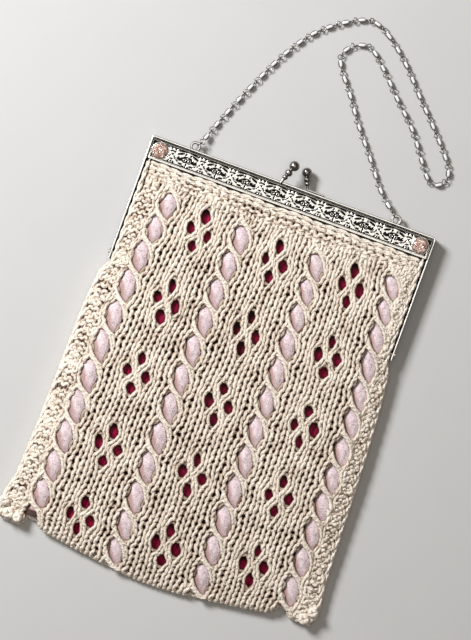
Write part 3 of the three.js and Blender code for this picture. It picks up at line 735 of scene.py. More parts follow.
def crystal_finish(colour):
    """Peach crystal on foil: small cells painted light and dark as glints and shade of the facets, under a
    hard polish.
    """
    made = Finish("peach_crystal", Roughness=0.12, Metallic=0.2, IOR=1.6, Coat_Weight=0.5,
                  Coat_Roughness=0.05)
    cells = made.node("ShaderNodeTexVoronoi", {"Vector": made.coords("Object"), "Scale": 1050.0}).outputs
    # Painted glints and shade, one tone per cell
    spark = made.node("ShaderNodeSeparateColor", {"Color": cells["Color"]}).outputs["Red"]
    made.feed("Base Color", made.ramp(
        spark, (0.05, tone(colour, 0.35)), (0.4, tone(colour, 0.9)), (0.75, tone(colour, 1.2)),
        (0.95, (0.95, 0.86, 0.8, 1)),
    ))
    made.bump(made.math("ADD", cells["Distance"], spark), 0.6, 0.0008)
    return made.material


def floor_finish(colour):
    """Pale matt floor with a barely seen mottle."""
    made = Finish("pale_floor", Roughness=0.9)
    mottle = made.noise(made.coords("Object"), 30.0)
    made.feed("Base Color", made.tones(mottle, colour, (0.3, 0.985), (0.7, 1)))
    return made.material


def finish(name, maker, *values):
    """The named finish, made once. Its name differs from those of the frame's own materials."""
    return bpy.data.materials.get(name) or maker(*values)


def silver(aged=False):
    """The metal's finish in the colours set for it, bright or darker."""
    metal = bpy.context.scene.purse_metal
    name, colour = ("aged_silver", metal.aged) if aged else ("silver_plate", metal.silver)
    return finish(name, silver_finish, name, colour, metal.painted_shade_and_patina)


# Knitting. A face tells how far a stitch stands proud, as a share of the relief, u stitches across.

def plain_face(u):
    """Plain knitting: every stitch shows its face."""
    return 1.0


def purl_face(u):
    """Purl: every stitch shows its back."""
    return -1.4


def border_face(first, last):
    """A border: purl, beside one plain stitch along the ribbon."""
    def face(u):
        ribbon = last - u if first == 0 else u - first
        return 1 - 2.6 * fade(ribbon, 0.7, 1.1)
    return face


def yarn_rows(first, last, rows, samples, relief, face, seed, loose=1.0):
    """One yarn knitted back and forth. Along a row, with t turning 2 pi in a stitch, it lies
    t / 2 pi + sway sin 2t - lean sin t stitches across, reach cos t rows up and -relief cos 2t proud, each
    with a small seeded wander that grows with loose, and it turns at the row's end into the next row. The
    last line returned is how thick the yarn is, 1 where it is even."""
    height = rows[1] - rows[0]
    u = np.linspace(first, last, (last - first) * samples + 1)
    t = 2 * pi * (u - 0.5)
    stitch = (u - first).astype(int)
    share = u - first - stitch
    wander = loose * np.random.default_rng(seed).normal(size=(4, len(rows), last - first + 2))
    wander = wander[:, :, stitch] * (1 - share) + wander[:, :, stitch + 1] * share
    across = u + STITCH_SWAY * np.sin(2 * t) - STITCH_LEAN * np.sin(t) + WANDER[0] * wander[0]
    row = rows[:, None] - height * (STITCH_REACH * np.cos(t) - WANDER[1] * wander[1])
    proud = -relief * np.cos(2 * t) * face(u) + WANDER[2] * wander[2]
    thick = np.clip(1 + WANDER[3] * wander[3], *THICK_LIMITS)
    lines = (across, row, proud, thick)
    for line in lines:
        line[1::2] = line[1::2, ::-1]
    turn = np.array([0.25, 0.5, 0.75])
    at_right = np.arange(len(rows))[:, None] % 2 == 0
    swing = 0.1 * np.sin(pi * turn)
    edge = np.where(at_right, last + swing, first - swing)
    level = 0 * turn
    ends = (edge, row[:, -1:] + height * turn, proud[:, -1:] + level, thick[:, -1:] + level)
    return [np.concatenate(pair, axis=1).ravel()[:-len(turn)] for pair in zip(lines, ends)]


def lay_on_front(across, row, proud, last_row, depth):
    """The yarn's path on the bag: the chart gives x and y, the eyelets push it aside, and it stands proud
    along the normal from a depth under the front. Past the last row it turns down round the foot."""
    level = np.minimum(row, last_row + LOOP_DROP)
    y = chart_y(level, chart_x(across, rough_y(level)), last_row)
    x, y = open_eyelets(chart_x(across, y), y)
    path = places(x, y, front_top(x, y)) + front_normal(x, y) * (proud - depth)[:, None]
    fall = FOOT_FALL * np.maximum(row - last_row - FOOT_TURN, 0)
    path[:, 2] = np.maximum(path[:, 2] - fall, FOOT_LOW)
    return path


def hollows(shape, reach):
    """How much painted shade the points of a shape get from how deep they lie under the bag's front: 0 on
    it, 1 from a share of the reach on, and less near the foot's edge."""
    x, y, z = shape[0].T
    under = (front_top(x, y) - z) * front_normal(x, y)[:, 2]
    deep = np.clip(under / reach / HOLLOW_FULL, 0, 1)
    return deep * np.clip((y - foot_edge(x)) / HOLLOW_FOOT, HOLLOW_LEAST, 1)


def crossing_strands(radius, steps=19):
    """Two yarns over the ribbon at each crossing, each a cubic curve from its start to its end, pulled by
    two points between. One leaves the left edge and bends down along the right edge of the window below,
    the other leaves the right edge and bends up along the left edge of the window above. With t from 0 to 1
    along it a yarn is lifted over the ribbon as 1 - (2 t - 1)^6."""
    t = np.linspace(0, 1, steps)[:, None]
    weights = np.concatenate([(1 - t) ** 3, 3 * (1 - t) ** 2 * t, 3 * (1 - t) * t ** 2, t ** 3], axis=1)
    lift = STRAND_RISE * (1 - (2 * t[:, 0] - 1) ** 6)
    paths = []
    for i in range(len(RIBBON_X)):
        for level in crossings(i):
            for strand in STRANDS:
                x, y = (weights @ strand).T
                x = ribbon_middle(i, level) + x
                y = np.maximum(level + y, foot_edge(x) + STRAND_FOOT)
                paths.append(places(x, y, front_top(x, y) - STRAND_UNDER + lift))
    return rod(paths, radius, sides=7)


def side_cords(steps=380):
    """Three cords down each side, two of them below the frame's arms: the line each follows, the reach of
    its plies from that line and its pitch."""
    for column, side in ((1, 1), (2, -1)):
        for inset, share, top in SIDE_CORDS:
            y = np.linspace(top, SIDE_CORD_END, steps)
            edge = section(y, column)
            front = front_top(edge + SIDE_CORD_IN * side, y)
            height = SIDE_CORD_LOW + share * (front - SIDE_CORD_LESS)
            yield places(edge + side * inset, y, height), CORD_REACH, CORD_PITCH


def end_cords(foot_steps=380, mouth_steps=330):
    """One cord along the foot and two, in low waves, along the mouth, in the same way."""
    x = np.linspace(-FOOT_CORD_HALF, FOOT_CORD_HALF, foot_steps)
    yield places(x, foot_edge(x) + FOOT_CORD_IN, FOOT_CORD_HEIGHT), CORD_REACH, FOOT_CORD_PITCH
    x = np.linspace(-MOUTH_CORD_HALF, MOUTH_CORD_HALF, mouth_steps)
    for y in MOUTH_CORDS:
        line = places(x, y + 0.4 * np.sin(0.21 * x), front_top(x, y) - MOUTH_CORD_UNDER)
        yield line, MOUTH_CORD_REACH, CORD_PITCH


def corner_coils(steps=90):
    """A coil of yarn on each place at the lower corners: turns round an ellipse that rise and fall."""
    a = np.linspace(0, 2 * pi * COIL_TURNS, steps)
    for x, y, size in COILS:
        reach = size * (1 - 0.12 * np.cos(0.7 * a))
        height = COIL_HEIGHT + COIL_RISE * np.sin(1.3 * a)
        yield places(x + reach * np.cos(a), y + 1.1 * reach * np.sin(a), height)


def edge_cords(radius):
    """Twisted cords that close the bag along its sides, foot and mouth, and coils on its lower corners."""
    cords = [rod(twisted(*cord), radius, sides=6) for cord in (*side_cords(), *end_cords())]
    coils = [rod(coil, COIL_YARN * radius, sides=8) for coil in corner_coils()]
    return joined(cords + coils)


def knitted(knit, first, last, rows, last_row, face, seed, loose):
    """A width of knitting on the bag's front: its yarn laid along the chart, round and as thick as set."""
    radius, relief = knit.yarn / MM / 2, knit.relief / MM
    yarn = yarn_rows(first, last, rows, STITCH_STEPS, relief, face, seed, loose)
    across, row, proud, thick = yarn
    return rod(lay_on_front(across, row, proud, last_row, radius + relief), radius * thick, sides=6)


def add_knit(name, shape, *nodes, reach=None):
    """A piece of the knitting, with painted shade in its hollows where their reach is given."""
    knit = bpy.context.scene.purse_knit
    yarn = finish("cotton_yarn", cotton_finish, knit.colour, knit.hollow_shade)
    values = hollows(shape, reach) if reach else None
    add_piece(name, shape, yarn, nodes, values=values)


class PURSE_OT_knit_front(Operator):
    """Knits the three lace panels and the two purl borders of the front"""
    bl_idname = "purse.knit_front"
    bl_label = "Knit Front"

    def execute(self, context):
        knit = context.scene.purse_knit
        reach = (knit.yarn + 2 * knit.relief) / MM
        for seed, (name, first, last, last_row) in enumerate(PANELS):
            if "border" in name:
                face, loose = border_face(first, last), BORDER_LOOSE
                rows = np.arange(BORDER_ROW, last_row + 1.2, BORDER_ROW)
            else:
                face, loose = plain_face, 1.0
                rows = np.arange(1, last_row + 2)
            shape = knitted(knit, first, last, rows, last_row, face, seed, loose)
            add_knit(name, shape, "knit_front", reach=reach)
        return {"FINISHED"}


class PURSE_OT_knit_edges(Operator):
    """Knits the top band, the strands across the ribbons and the cords that close the bag"""
    bl_idname = "purse.knit_edges"
    bl_label = "Knit Edges"

    def execute(self, context):
        knit = context.scene.purse_knit
        radius = knit.yarn / MM / 2
        band = joined([
            knitted(knit, 0, WALES[-1], np.array(rows), LAST_ROW, face, seed=11, loose=BAND_LOOSE)
            for rows, face in ((BAND_PLAIN, plain_face), (BAND_PURL, purl_face))
        ])
        add_knit("knit_top_band", band, "knit_front", reach=(knit.yarn + 2 * knit.relief) / MM)
        strands = crossing_strands(STRAND_YARN * radius)
        add_knit("knit_ribbon_strands", strands, "knit_front", reach=STRAND_HOLLOW)
        add_knit("knit_edge_cords", edge_cords(CORD_YARN * radius), "knit_front", "knit_back")
        return {"FINISHED"}


class PURSE_OT_knit_back(Operator):
    """Knits the plain back panel in two widths"""
    bl_idname = "purse.knit_back"
    bl_label = "Knit Back"

    def execute(self, context):
        radius = BACK_YARN * context.scene.purse_knit.yarn / MM / 2
        rows = np.arange(-3, LAST_ROW)
        widths = (("knit_back_left", 0, BACK_SEAM), ("knit_back_right", BACK_SEAM, WALES[-1]))
        for name, first, last in widths:
            yarn = yarn_rows(first, last, rows, BACK_STEPS, BACK_RELIEF, plain_face, seed=21 + first)
            across, row, proud, thick = yarn
            y = chart_y(row, chart_x(across, rough_y(row), 0), rows[-1])
            inset = np.interp(y, (ARM_END - 8, ARM_END - 2), BACK_INSET)
            x = np.clip(chart_x(across, y, 0), section(y, 1) + inset, section(y, 2) - inset)
            path = places(x, y, radius + BACK_LIFT - np.clip(proud, -BACK_PROUD, BACK_PROUD))
            add_knit(name, rod(path, np.minimum(radius, radius * thick), sides=6), "knit_back")
        return {"FINISHED"}


# Cloth

def ribbon_sheet(i, width, puff, rows=340, columns=15):
    """A ribbon down its column: it lies under the crossings and puffs up between them as the 0.6 power of a
    sine of the way from one crossing to the next, less towards its edges, leaning with the crossings. With
    it comes how much painted shade each point gets: near the crossings, more on the left of each window's
    lower part, and darkest at its end."""
    foot = ribbon_foot(i)
    y = np.linspace(RIBBON_TOP, foot, rows)[:, None]
    s = np.linspace(-1, 1, columns)
    middle = ribbon_middle(i, y)
    x = middle + s * width / 2
    levels = np.concatenate([crossings(i), [foot - 12]])
    way = np.interp(-(y + RIBBON_LEAN * (x - middle)), -levels, np.arange(len(levels)))
    rise = np.abs(np.sin(pi * way)) ** 0.6
    crease = 0.14 * np.sin(1.9 * x + 0.8 * y) * np.sin(0.9 * y + i) * rise
    z = front_top(middle, y) - RIBBON_UNDER + puff * rise * (1 - 0.75 * s ** 2) + crease
    # Painted shade near the crossings and on the left of each window's lower part
    lower = fade(way % 1, 0.4, 0.7)
    left = lower * np.maximum(0.36 - s, 0) ** 2
    painted_ribbon_shade = np.clip(1.15 + 0.45 * lower - 1.6 * rise * (1 - left), 0, 0.85)
    # Painted shade at the ribbon's end, below its last crossing
    painted_ribbon_shade = np.maximum(painted_ribbon_shade, fade(y, levels[-2], levels[-2] - 3))
    return surface(places(x, y, z)[::-1]), painted_ribbon_shade[::-1].ravel()


def lining_sheet(rows=160, columns=181):
    """The lining pouch: round each section it runs over the front and back under the knit, the 0.8 power of
    cos a across, and its two sides draw together at the foot. Slack shows as low waves along the bag. With
    it comes how much painted shade each point gets where the knitting covers it: 0 low in an eyelet and 1
    away from it, so the top of each eyelet lies in painted shadow."""
    share = np.linspace(0, 1, rows)[:, None]
    a = np.linspace(0, 2 * pi, columns)
    y = LINING_TOP - LINING_DEPTH * share
    left, right = section(y, 1) + LINING_INSET, section(y, 2) - LINING_INSET
    narrow = fade(share, 1, 1 - 1 / 24) ** 0.5
    s = np.sign(np.cos(a)) * np.abs(np.cos(a)) ** 0.8
    x = (left + right) / 2 + (right - left) / 2 * s
    y = LINING_TOP + (foot_edge(x) + LINING_FOOT - LINING_TOP) * share
    slack = 0.2 * np.sin(0.42 * y + 0.05 * x)
    back = LINING_BACK
    front = np.maximum(front_top(x, y) - LINING_UNDER + slack, back + 1)
    swell = np.sign(np.sin(a)) * np.abs(np.sin(a)) ** 0.35
    z = (front + back) / 2 + (front - back) / 2 * swell * narrow
    # Painted shade on the lining: dark under the knitting and at the top of each eyelet
    away = np.stack([x, y + SHOWS_BELOW], axis=-1).reshape(-1, 1, 2) - eyelet_middles()
    painted_lining_shade = fade(np.linalg.norm(away / SHOWS_HALF, axis=-1).min(axis=1), *SHOWS_FADE)
    return surface(places(x, y, z)), painted_lining_shade


class PURSE_OT_ribbons(Operator):
    """Threads the four ribbons"""
    bl_idname = "purse.ribbons"
    bl_label = "Ribbons"

    def execute(self, context):
        trim = context.scene.purse_trim
        velvet = finish("ribbon_velvet", velvet_finish, trim.ribbon, trim.shadow)
        for i in range(len(RIBBON_X)):
            shape, painted_ribbon_shade = ribbon_sheet(i, trim.ribbon_width / MM, trim.puff / MM)
            name, node = f"ribbon_cloth_{i + 1}", f"ribbon_{i + 1}"
            piece = add_piece(name, shape, velvet, (node,), values=painted_ribbon_shade)
            solid = piece.modifiers.new("thickness", "SOLIDIFY")
            solid.thickness = RIBBON_THICK * MM
            solid.offset = -1
            length = float(np.ptp(shape[0][:, 1])) * MM * RIBBON_SLACK
        return {"FINISHED"}


class PURSE_OT_lining(Operator):
    """Sews the lining pouch"""
    bl_idname = "purse.lining"
    bl_label = "Lining"

    def execute(self, context):
        trim = context.scene.purse_trim
        satin = finish("lining_satin", satin_finish, trim.lining, trim.dark)
        shape, painted_lining_shade = lining_sheet()
        piece = add_piece("lining_pouch", shape, satin, ("lining",), values=painted_lining_shade)
        return {"FINISHED"}


# Metal

def arc_path(points, radius, steps=6):
    """A path through points in a plane with its inner corners rounded: each corner is a quarter turn of a
    circle between the two straight runs, which meet square."""
    points = np.asarray(points, float)
    a = np.linspace(0, pi / 2, steps)[:, None]
    path = [points[0]]
    for before, corner, after in zip(points, points[1:], points[2:]):
        into, out = unit(corner - before), unit(after - corner)
        path.extend(corner - radius * into * (1 - np.sin(a)) + radius * out * (1 - np.cos(a)))
    path.append(points[-1])
    return np.array(path)


def back_half():
    """The back half of the frame: a rim round the top and arms, a back plate, a flange, feet and two eyes.
    With it comes how dark each point is: black inside the rim, as patina and painted shade, and grey
    painted shade outside it and on the eyes."""
    middle, top = HALF - WALL / 2, FRAME_TOP - WALL / 2
    corners = ((-middle, ARM_END), (-middle, top), (middle, top), (middle, ARM_END))
    rim = arc_path([(x, y, RIM / 2) for x, y in corners], 1.0)
    step = (0, 1e-3, 0)
    rim = np.concatenate([[rim[0] - step], rim, [rim[-1] - step]])
    shapes = [
        sweep(rim, rounded(WALL, RIM, 0.35), pointed=True),
        block(-middle, middle, BAR_BOTTOM, top, 0, WALL),
        block(-FLANGE_HALF, FLANGE_HALF, BAR_BOTTOM, BAR_BOTTOM + WALL, *FLANGE),
    ]
    for side in (-1, 1):
        shapes.append(post(side * ARM_INNER, side * middle, ARM_END, BAR_BOTTOM + WALL, 0, WALL))
        eye = ring((side * EYE[0], *EYE[1:]), EYE_REACH, steps=32)
        shapes.append(rod(eye, EYE_WIRE, sides=10, closed=True))
    shape = joined(shapes)
    x, y, z = shape[0].T
    # Black inside the rim is patina and painted shade; grey outside it and on the eyes is painted shade
    inside = (np.abs(x) < HALF - 0.7) & (y < FRAME_TOP - 0.7) & (z > 0.6)
    outside = (np.maximum(np.abs(x) - HALF, y - FRAME_TOP) > -0.3) & (z < RIM - 0.03)
    painted_grey_shade = np.where(y > FRAME_TOP + 0.1, 0.26, np.where(outside, 0.4, 0))
    return shape, np.where(inside, fade(z, RIM - 0.05, RIM - 0.3), painted_grey_shade)


def front_half():
    """The front half of the frame: a face plate with rims on four sides, two slim arms and two stone cups.
    With it comes how dark each point is, as patina and painted shade: black below the face, along the top
    edge and low on the arms."""
    shapes = [
        block(-BAR_HALF, BAR_HALF, BAR_BOTTOM, BAR_TOP, FACE - WALL, FACE),
        block(-BAR_HALF, BAR_HALF, BAR_BOTTOM, BAR_BOTTOM + WALL, *BAR_RIM, 0.3),
        block(-BAR_HALF, BAR_HALF, BAR_TOP - BAR_EDGE, BAR_TOP, *BAR_RIM),
    ]
    for side in (-1, 1):
        end = side * BAR_HALF
        inner = end - side * SLIM_ARM
        shapes.append(post(end, end - side * BAR_EDGE, BAR_BOTTOM, BAR_TOP, *BAR_RIM, 0.33))
        shapes.append(post(end, inner, ARM_END, BAR_BOTTOM + WALL, *SLIM_HEIGHTS, 0.6))
        cup = ring((side * STONE_X, STONE_Y, CUP_HEIGHT), CUP, steps=40)
        shapes.append(sweep(cup, rounded(*CUP_WALL), closed=True))
    shape = joined(shapes)
    _, y, z = shape[0].T
    # Patina and painted shade below the face, along the top edge and low on the arms
    face = np.where(y > BAR_TOP - 0.3, 1, fade(z, FACE - 0.1, FACE - 0.4))
    arm_top = SLIM_HEIGHTS[1]
    return shape, np.where(z > arm_top + 0.05, face, fade(z, arm_top - 0.2, arm_top - 0.8))


def filigree_band(columns=865, rows=53):
    """The relief along the bar: a face at full height less its cuts, the stones' places and the corners
    beyond. A cut is an ellipse with soft sides, 1 in its middle and 0 outside, mirrored in every repeat; a
    ring is cut round each bull's-eye, and each island between cuts has a low swell. The relief is closed
    underneath and drawn to a point at both ends, inside the plate. With it comes each point's depth, by
    which the cuts are blackened as patina and painted shade."""
    x = np.linspace(-BAND_HALF, BAND_HALF, columns)
    y = np.linspace(*BAND_ENDS, rows)[:, None]
    u, v = np.broadcast_arrays(np.abs((x + REPEAT * 4) % REPEAT - REPEAT / 2), y - STONE_Y)
    from_middle = np.abs(x)
    depth = 0.0
    for mid_x, mid_y, long, tall, turn in CUTS:
        c, s = cos(radians(turn)), sin(radians(turn))
        along = ((u - mid_x) * c + (v - mid_y) * s) / long
        across = (-(u - mid_x) * s + (v - mid_y) * c) / tall
        depth = np.maximum(depth, fade(np.hypot(along, across), 1.3, 0.8))
    bulls_eye = np.abs(np.hypot(u - BULLS_EYE[0], v - BULLS_EYE[1]) - BULLS_EYE_REACH)
    depth = np.maximum(depth, 0.8 * fade(bulls_eye, 0.36, 0.16))
    depth = depth * depth * (3 - 2 * depth)
    below, above = BAND_EDGES
    edge = fade(np.minimum(v + below, above - v), 0, 0.3) * fade(from_middle, BAND_HALF, BAND_HALF - 0.3)
    cup = fade(np.hypot(from_middle - STONE_X, v), *CUP_CLEAR)
    corner = fade(from_middle, STONE_X + 1.5, STONE_X + 1.2)
    depth = 1 - (1 - depth) * edge * cup * corner
    swell = RELIEF_SWELL * np.cos(2 * pi * u / 2.4) * np.cos(2 * pi * v / 2.1)
    z = FACE + RELIEF_START + (RELIEF_HEIGHT + swell) * (1 - depth)
    points = np.pad(places(x, y, z), ((1, 1), (1, 1), (0, 0)), mode="edge")
    points[[0, -1], :, 2] = FACE - RELIEF_UNDER
    points[:, [0, -1]] = points[:, [0, -1]].mean(axis=0)
    return surface(points, wrap_rows=True), np.pad(depth, 1, constant_values=1).ravel()


def stone(side):
    """A round stone cut with facets: a ring of points at each height, some turned by half a step."""
    reach, rise, turn = STONE_RINGS.T[:, :, None]
    a = 2 * pi * (np.arange(STONE_SIDES) + turn) / STONE_SIDES
    x, y = side * STONE_X + reach * np.cos(a), STONE_Y + reach * np.sin(a)
    return surface(places(x, y, FACE + STONE_LIFT + rise), wrap_columns=True)


def clasp(foot, tip, steps=70):
    """A turned post with two beads under a ball: the post's radii run smoothly into the ball's circle."""
    length = float(np.linalg.norm(np.subtract(tip, foot)))
    along = np.linspace(0, length + BALL, steps)
    below = np.interp(along / length, POST[:, 0], POST[:, 1])
    below = np.convolve(np.pad(below, 1, mode="edge"), np.ones(3) / 3, mode="valid")
    ball = np.sqrt(np.maximum(BALL ** 2 - (along - length) ** 2, 0))
    above = np.maximum(ball, np.where(along < length, below, 0))
    radius = np.where(along > length - BALL, above, below)
    radius[[0, -1]] = 0
    return turned(foot, tip, along, radius, sides=24)


class PURSE_OT_frame_halves(Operator):
    """Forms the two halves of the metal frame, the filigree band and the hinge rivets"""
    bl_idname = "purse.frame_halves"
    bl_label = "Frame"

    def execute(self, context):
        parts = (
            ("frame_back_rim", "frame_back", 35, back_half),
            ("frame_front_bar", "frame_front", 35, front_half),
            ("frame_filigree", "frame_front", None, filigree_band),
        )
        for name, node, sharp, maker in parts:
            shape, depth = maker()
            add_piece(name, shape, silver(), (node,), sharp=sharp, values=depth)
        for name, side in SIDES:
            foot, tip = RIVET_ENDS * (side, 1, 1)
            shape = turned(foot, tip, *RIVET.T, sides=20)
            add_piece(f"rivet_{name}", shape, silver(), (f"hinge_rivet_{name}",), sharp=40)
        return {"FINISHED"}


class PURSE_OT_stones(Operator):
    """Sets the two round stones"""
    bl_idname = "purse.stones"
    bl_label = "Stones"

    def execute(self, context):
        crystal = finish("peach_crystal", crystal_finish, context.scene.purse_metal.stone)
        for name, side in SIDES:
            add_piece(f"stone_{name}", stone(side), crystal, (f"corner_stone_{name}",), sharp=5)
        return {"FINISHED"}


class PURSE_OT_clasp(Operator):
    """Turns the two balls of the snap clasp and fixes the tab of the right one"""
    bl_idname = "purse.clasp"
    bl_label = "Clasp"

    def execute(self, context):
        for name, node, foot, tip in CLASPS:
            add_piece(name, clasp(foot, tip), silver(aged=True), (node,), sharp=50)
        add_piece("clasp_tab", block(*TAB), silver(), ("clasp_ball_right",), sharp=50)
        return {"FINISHED"}


# Chain

def route_line(steps=40):
    """The chain's line, as points and the distance along it: a cubic curve through the route, whose slope
    at a point is that between the points beside it, level above the floor and rising to the eyes at its
    ends."""
    z = np.full(len(ROUTE), ROUTE_HEIGHT)
    z[[0, -1]] = EYE[2]
    knots = np.column_stack([ROUTE, z])
    knots = np.concatenate([[2 * knots[0] - knots[1]], knots, [2 * knots[-1] - knots[-2]]])
    t = np.linspace(0, 1, steps, endpoint=False)[:, None]
    p0, p1, p2, p3 = (knots[i:len(knots) - 3 + i][:, None] for i in range(4))
    line = (2 * t ** 3 - 3 * t ** 2 + 1) * p1 + (t ** 3 - 2 * t ** 2 + t) * (p2 - p0) / 2
    line = line + (3 * t ** 2 - 2 * t ** 3) * p2 + (t ** 3 - t ** 2) * (p3 - p1) / 2
    line = np.concatenate([line.reshape(-1, 3), knots[-2:-1]])
    line[:, 2] = np.maximum(line[:, 2], ROUTE_LOW)
    return line, lengths(line)


def at(line, along, distance):
    """Points of a line at distances along it."""
    return np.stack([np.interp(distance, along, line[:, k]) for k in range(3)], axis=-1)


def barrels(line, along, middles, half, radii):
    """Turned barrels on the line, each straight, with a circle of each radius from end to end."""
    first, last = at(line, along, middles - half), at(line, along, middles + half)
    share = np.linspace(0, 1, len(radii))[:, None]
    return sweep(first[:, None] + share * (last - first)[:, None], circle(BEAD_SIDES), radii)


def wire_eyes(line, along, middles, half, reach, wide, wire, steps=18):
    """A teardrop eye at both ends of each bead: with a from 0 to 2 pi it runs reach (1 - cos a) / 2 out
    from the bead and wide sin a sin(a / 2) to the side. One eye of a bead lies flat; the other is slimmer
    and on edge."""
    a = 2 * pi * np.arange(steps)[:, None] / steps
    out, side = reach * (1 - np.cos(a)) / 2, wide * np.sin(a) * np.sin(a / 2)
    shapes = []
    for way, tilt, slim in EYE_WAYS:
        root = at(line, along, middles + way * half)
        axis = unit(at(line, along, middles + way * (half + reach)) - root)
        flat = unit(np.cross((0, 0, 1), axis))
        width = cos(tilt) * flat + sin(tilt) * np.cross(axis, flat)
        paths = root[:, None] + out * axis[:, None] + slim * side * width[:, None]
        shapes.append(rod(paths, wire, sides=6, up=np.cross(axis, width)[:, None], closed=True))
    return joined(shapes)


class PURSE_OT_chain(Operator):
    """Strings the glass beads with their wire eyes and the end links"""
    bl_idname = "purse.chain"
    bl_label = "Bead Chain"

    def execute(self, context):
        metal = context.scene.purse_metal
        line, along = route_line()
        pitch = along[-1] / BEADS
        middles = (np.arange(BEADS) + 0.5) * pitch
        half = BEAD_LENGTH / 2
        w = np.linspace(-1, 1, 11)
        radii = BEAD_END + BEAD_SWELL * (1 - np.abs(w) ** 3.2) ** 0.6
        radii[[0, -1]] = 0.0
        side, over = circle(BEAD_SIDES).T
        # Painted shade on the beads' sides and underneath
        bead_side_shade = np.where(over > -0.1, fade(np.abs(side), 0.44, 0.6), 1)
        bead_side_shade = np.tile(bead_side_shade, BEADS * len(w))
        glass = finish("clear_glass", glass_finish, metal.foil, metal.bead_shade)
        beads = barrels(line, along, middles, half, radii)
        add_piece("chain_beads", beads, glass, ("chain",), values=bead_side_shade)
        wire = metal.wire / MM / 2
        reach = pitch / 2 - half + EYE_BEYOND
        eyes = [wire_eyes(line, along, middles, half - EYE_START, reach, EYE_WIDTH, wire)]
        for side, end in ((-1, line[0]), (1, line[-1])):
            eye = np.array([side * EYE[0], EYE[1]])
            away = unit(end[:2] - eye)
            middle = (*(eye + away * LINK_OUT), EYE[2])
            link = ring(middle, LINK, steps=24, first=(*away, 0), second=(0, 0, 1))
            eyes.append(rod(link, LINK_WIRE, sides=8, up=(-away[1], away[0], 0), closed=True))
        add_piece("chain_wire", joined(eyes), silver(aged=True), ("chain",))
        return {"FINISHED"}


# Stage

def add_light(name, place, size, colour, power):
    """A square soft light at a place, aimed at the purse."""
    light = bpy.data.lights.new(name, "AREA")
    light.shape = "SQUARE"
    light.size = size
    light.energy = power
    light.color = colour
    lamp = bpy.data.objects.new(name, light)
    bpy.context.scene.collection.objects.link(lamp)
    lamp.location = place
    lamp.rotation_mode = "QUATERNION"
    lamp.rotation_quaternion = (Vector(AIM) - Vector(place)).to_track_quat("-Z", "Y")


class PURSE_OT_stage(Operator):
    """Lays the floor and sets the lights and the camera"""
    bl_idname = "purse.stage"
    bl_label = "Stage"

    def execute(self, context):
        scene = context.scene
        stage = scene.purse_stage
        edge = np.array([-FLOOR_HALF, FLOOR_HALF])
        points = places(edge, edge[:, None], 0).reshape(-1, 3) * MM
        mesh = bpy.data.meshes.new("floor")
        mesh.from_pydata(points.tolist(), [], grid_quads(2, 2).tolist())
        mesh.materials.append(finish("pale_floor", floor_finish, stage.floor))
        floor = bpy.data.objects.new("floor", mesh)
        scene.collection.objects.link(floor)
        add_light("key_light", *KEY_LIGHT, stage.key)
        add_light("top_light", *TOP_LIGHT, stage.fill)
        world = bpy.data.worlds.new("studio")
        world.use_nodes = True
        around = world.node_tree.nodes["Background"].inputs
        around["Color"].default_value = (1, 0.9, 0.8, 1)
        around["Strength"].default_value = stage.world
        scene.world = world
        camera = bpy.data.cameras.new("camera")
        camera.sensor_fit = "VERTICAL"
        camera.sensor_height = SENSOR
        camera.lens = SENSOR * VIEW_AWAY / VIEW_TALL
        view = bpy.data.objects.new("camera", camera)
        scene.collection.objects.link(view)
        view.location = CAMERA_PLACE
        view.rotation_euler = (0, 0, radians(CAMERA_TURN))
        scene.camera = view
        scene.view_settings.view_transform = "Standard"
        return {"FINISHED"}


# Settings, panel and registration

# A colour and a length as settings
ColourProperty = partial(FloatVectorProperty, subtype="COLOR")
LengthProperty = partial(FloatProperty, unit="LENGTH")


class PURSE_PG_knit(PropertyGroup):
    """Sizes and colour of the knitting"""
    yarn: LengthProperty(name="Yarn", description="Thickness of the yarn", default=0.00256)
    relief: LengthProperty(name="Relief", description="How far a stitch stands proud", default=0.0005)
    colour: ColourProperty(name="Cream", description="Colour of the yarn", default=(0.825, 0.745, 0.655))
    # Colour of the painted shade in the hollows between stitches
    hollow_shade: ColourProperty(
        name="Hollows", description="Colour between stitches", default=(0.075, 0.018, 0.011))


class PURSE_PG_trim(PropertyGroup):
    """Sizes and colours of the ribbons and lining"""
    ribbon: ColourProperty(
        name="Ribbon", description="Colour of the ribbons", default=(0.745, 0.608, 0.635))
    shadow: ColourProperty(
        name="Ribbon Shadow", description="Colour under the knitting", default=(0.40, 0.225, 0.195))
    lining: ColourProperty(name="Lining", description="Colour of the lining", default=(0.33, 0.008, 0.05))
    # Colour of the painted shade on the lining under the knitting
    dark: ColourProperty(
        name="Covered Lining", description="Colour under the knitting", default=(0.022, 0.003, 0.004))
    ribbon_width: LengthProperty(name="Ribbon Width", description="Width of a ribbon", default=0.0114)
    puff: LengthProperty(name="Puff", description="How far the ribbon rises in a window", default=0.0024)


class PURSE_PG_metal(PropertyGroup):
    """Finishes of the frame, stones and chain"""
    silver: ColourProperty(name="Silver", description="Colour of the metal", default=(0.93, 0.915, 0.88))
    # A darker silver, used for the clasp and the chain's wire
    aged: ColourProperty(
        name="Dim Silver", description="Colour of the clasp and the wire", default=(0.30, 0.275, 0.25))
    # Colour of the black: patina in the cuts and painted shade in the grooves and on the sides
    painted_shade_and_patina: ColourProperty(
        name="Recess", description="Colour of the blackened cuts", default=(0.012, 0.011, 0.01))
    stone: ColourProperty(
        name="Stone", description="Colour of the corner stones", default=(0.57, 0.33, 0.26))
    foil: ColourProperty(
        name="Bead Foil", description="Colour of the foil in a bead", default=(0.97, 0.96, 0.96))
    # Colour of the painted shade on a bead's sides
    bead_shade: ColourProperty(
        name="Bead Sides", description="Colour of a bead's sides", default=(0.05, 0.048, 0.046))
    wire: LengthProperty(name="Wire", description="Thickness of the chain's wire", default=0.0006)


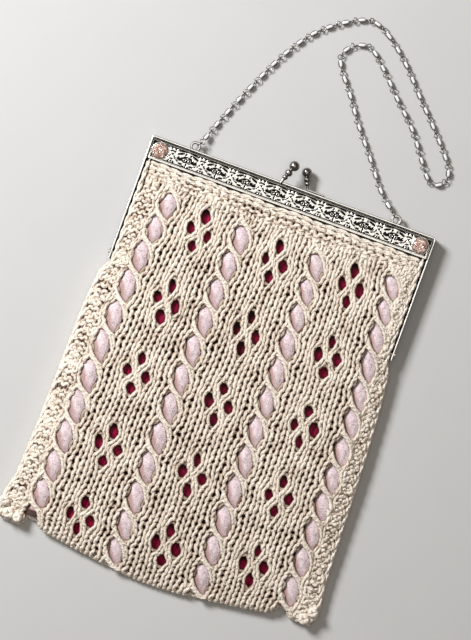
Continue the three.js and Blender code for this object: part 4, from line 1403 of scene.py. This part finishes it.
class PURSE_PG_stage(PropertyGroup):
    """Floor and lights"""
    floor: ColourProperty(name="Floor", description="Colour of the floor", default=(0.56, 0.553, 0.543))
    key: FloatProperty(name="Key Light", description="Power of the key light", default=27.0, unit="POWER")
    fill: FloatProperty(
        name="Fill Light", description="Power of the light overhead", default=11.0, unit="POWER")
    world: FloatProperty(
        name="Surrounding Light", description="Strength of the light all round", default=0.1)


OPERATORS = (
    PURSE_OT_stage, PURSE_OT_knit_back, PURSE_OT_knit_front, PURSE_OT_knit_edges, PURSE_OT_lining,
    PURSE_OT_ribbons, PURSE_OT_frame_halves, PURSE_OT_stones, PURSE_OT_clasp, PURSE_OT_chain,
)
SETTINGS = {
    "purse_knit": PURSE_PG_knit, "purse_trim": PURSE_PG_trim, "purse_metal": PURSE_PG_metal,
    "purse_stage": PURSE_PG_stage,
}


class PURSE_PT_panel(Panel):
    """The purse's pieces in the order they are made"""
    bl_idname = "PURSE_PT_panel"
    bl_label = "Purse"
    bl_space_type = "VIEW_3D"
    bl_region_type = "UI"
    bl_category = "Purse"

    def draw(self, context):
        for key in SETTINGS:
            box = self.layout.box()
            group = getattr(context.scene, key)
            for name in group.__annotations__:
                box.prop(group, name)
        for operator in OPERATORS:
            self.layout.operator(operator.bl_idname)


CLASSES = (*SETTINGS.values(), *OPERATORS, PURSE_PT_panel)


def register():
    for made in CLASSES:
        bpy.utils.register_class(made)
    for key, group in SETTINGS.items():
        setattr(bpy.types.Scene, key, PointerProperty(type=group))


def unregister():
    for key in SETTINGS:
        delattr(bpy.types.Scene, key)
    for made in reversed(CLASSES):
        bpy.utils.unregister_class(made)


def main():
    register()
    bpy.ops.purse.stage()
    bpy.ops.purse.knit_back()
    bpy.ops.purse.knit_front()
    bpy.ops.purse.knit_edges()
    bpy.ops.purse.lining()
    bpy.ops.purse.ribbons()
    bpy.ops.purse.frame_halves()
    bpy.ops.purse.stones()
    bpy.ops.purse.clasp()
    bpy.ops.purse.chain()


if __name__ == "__main__":
    main()
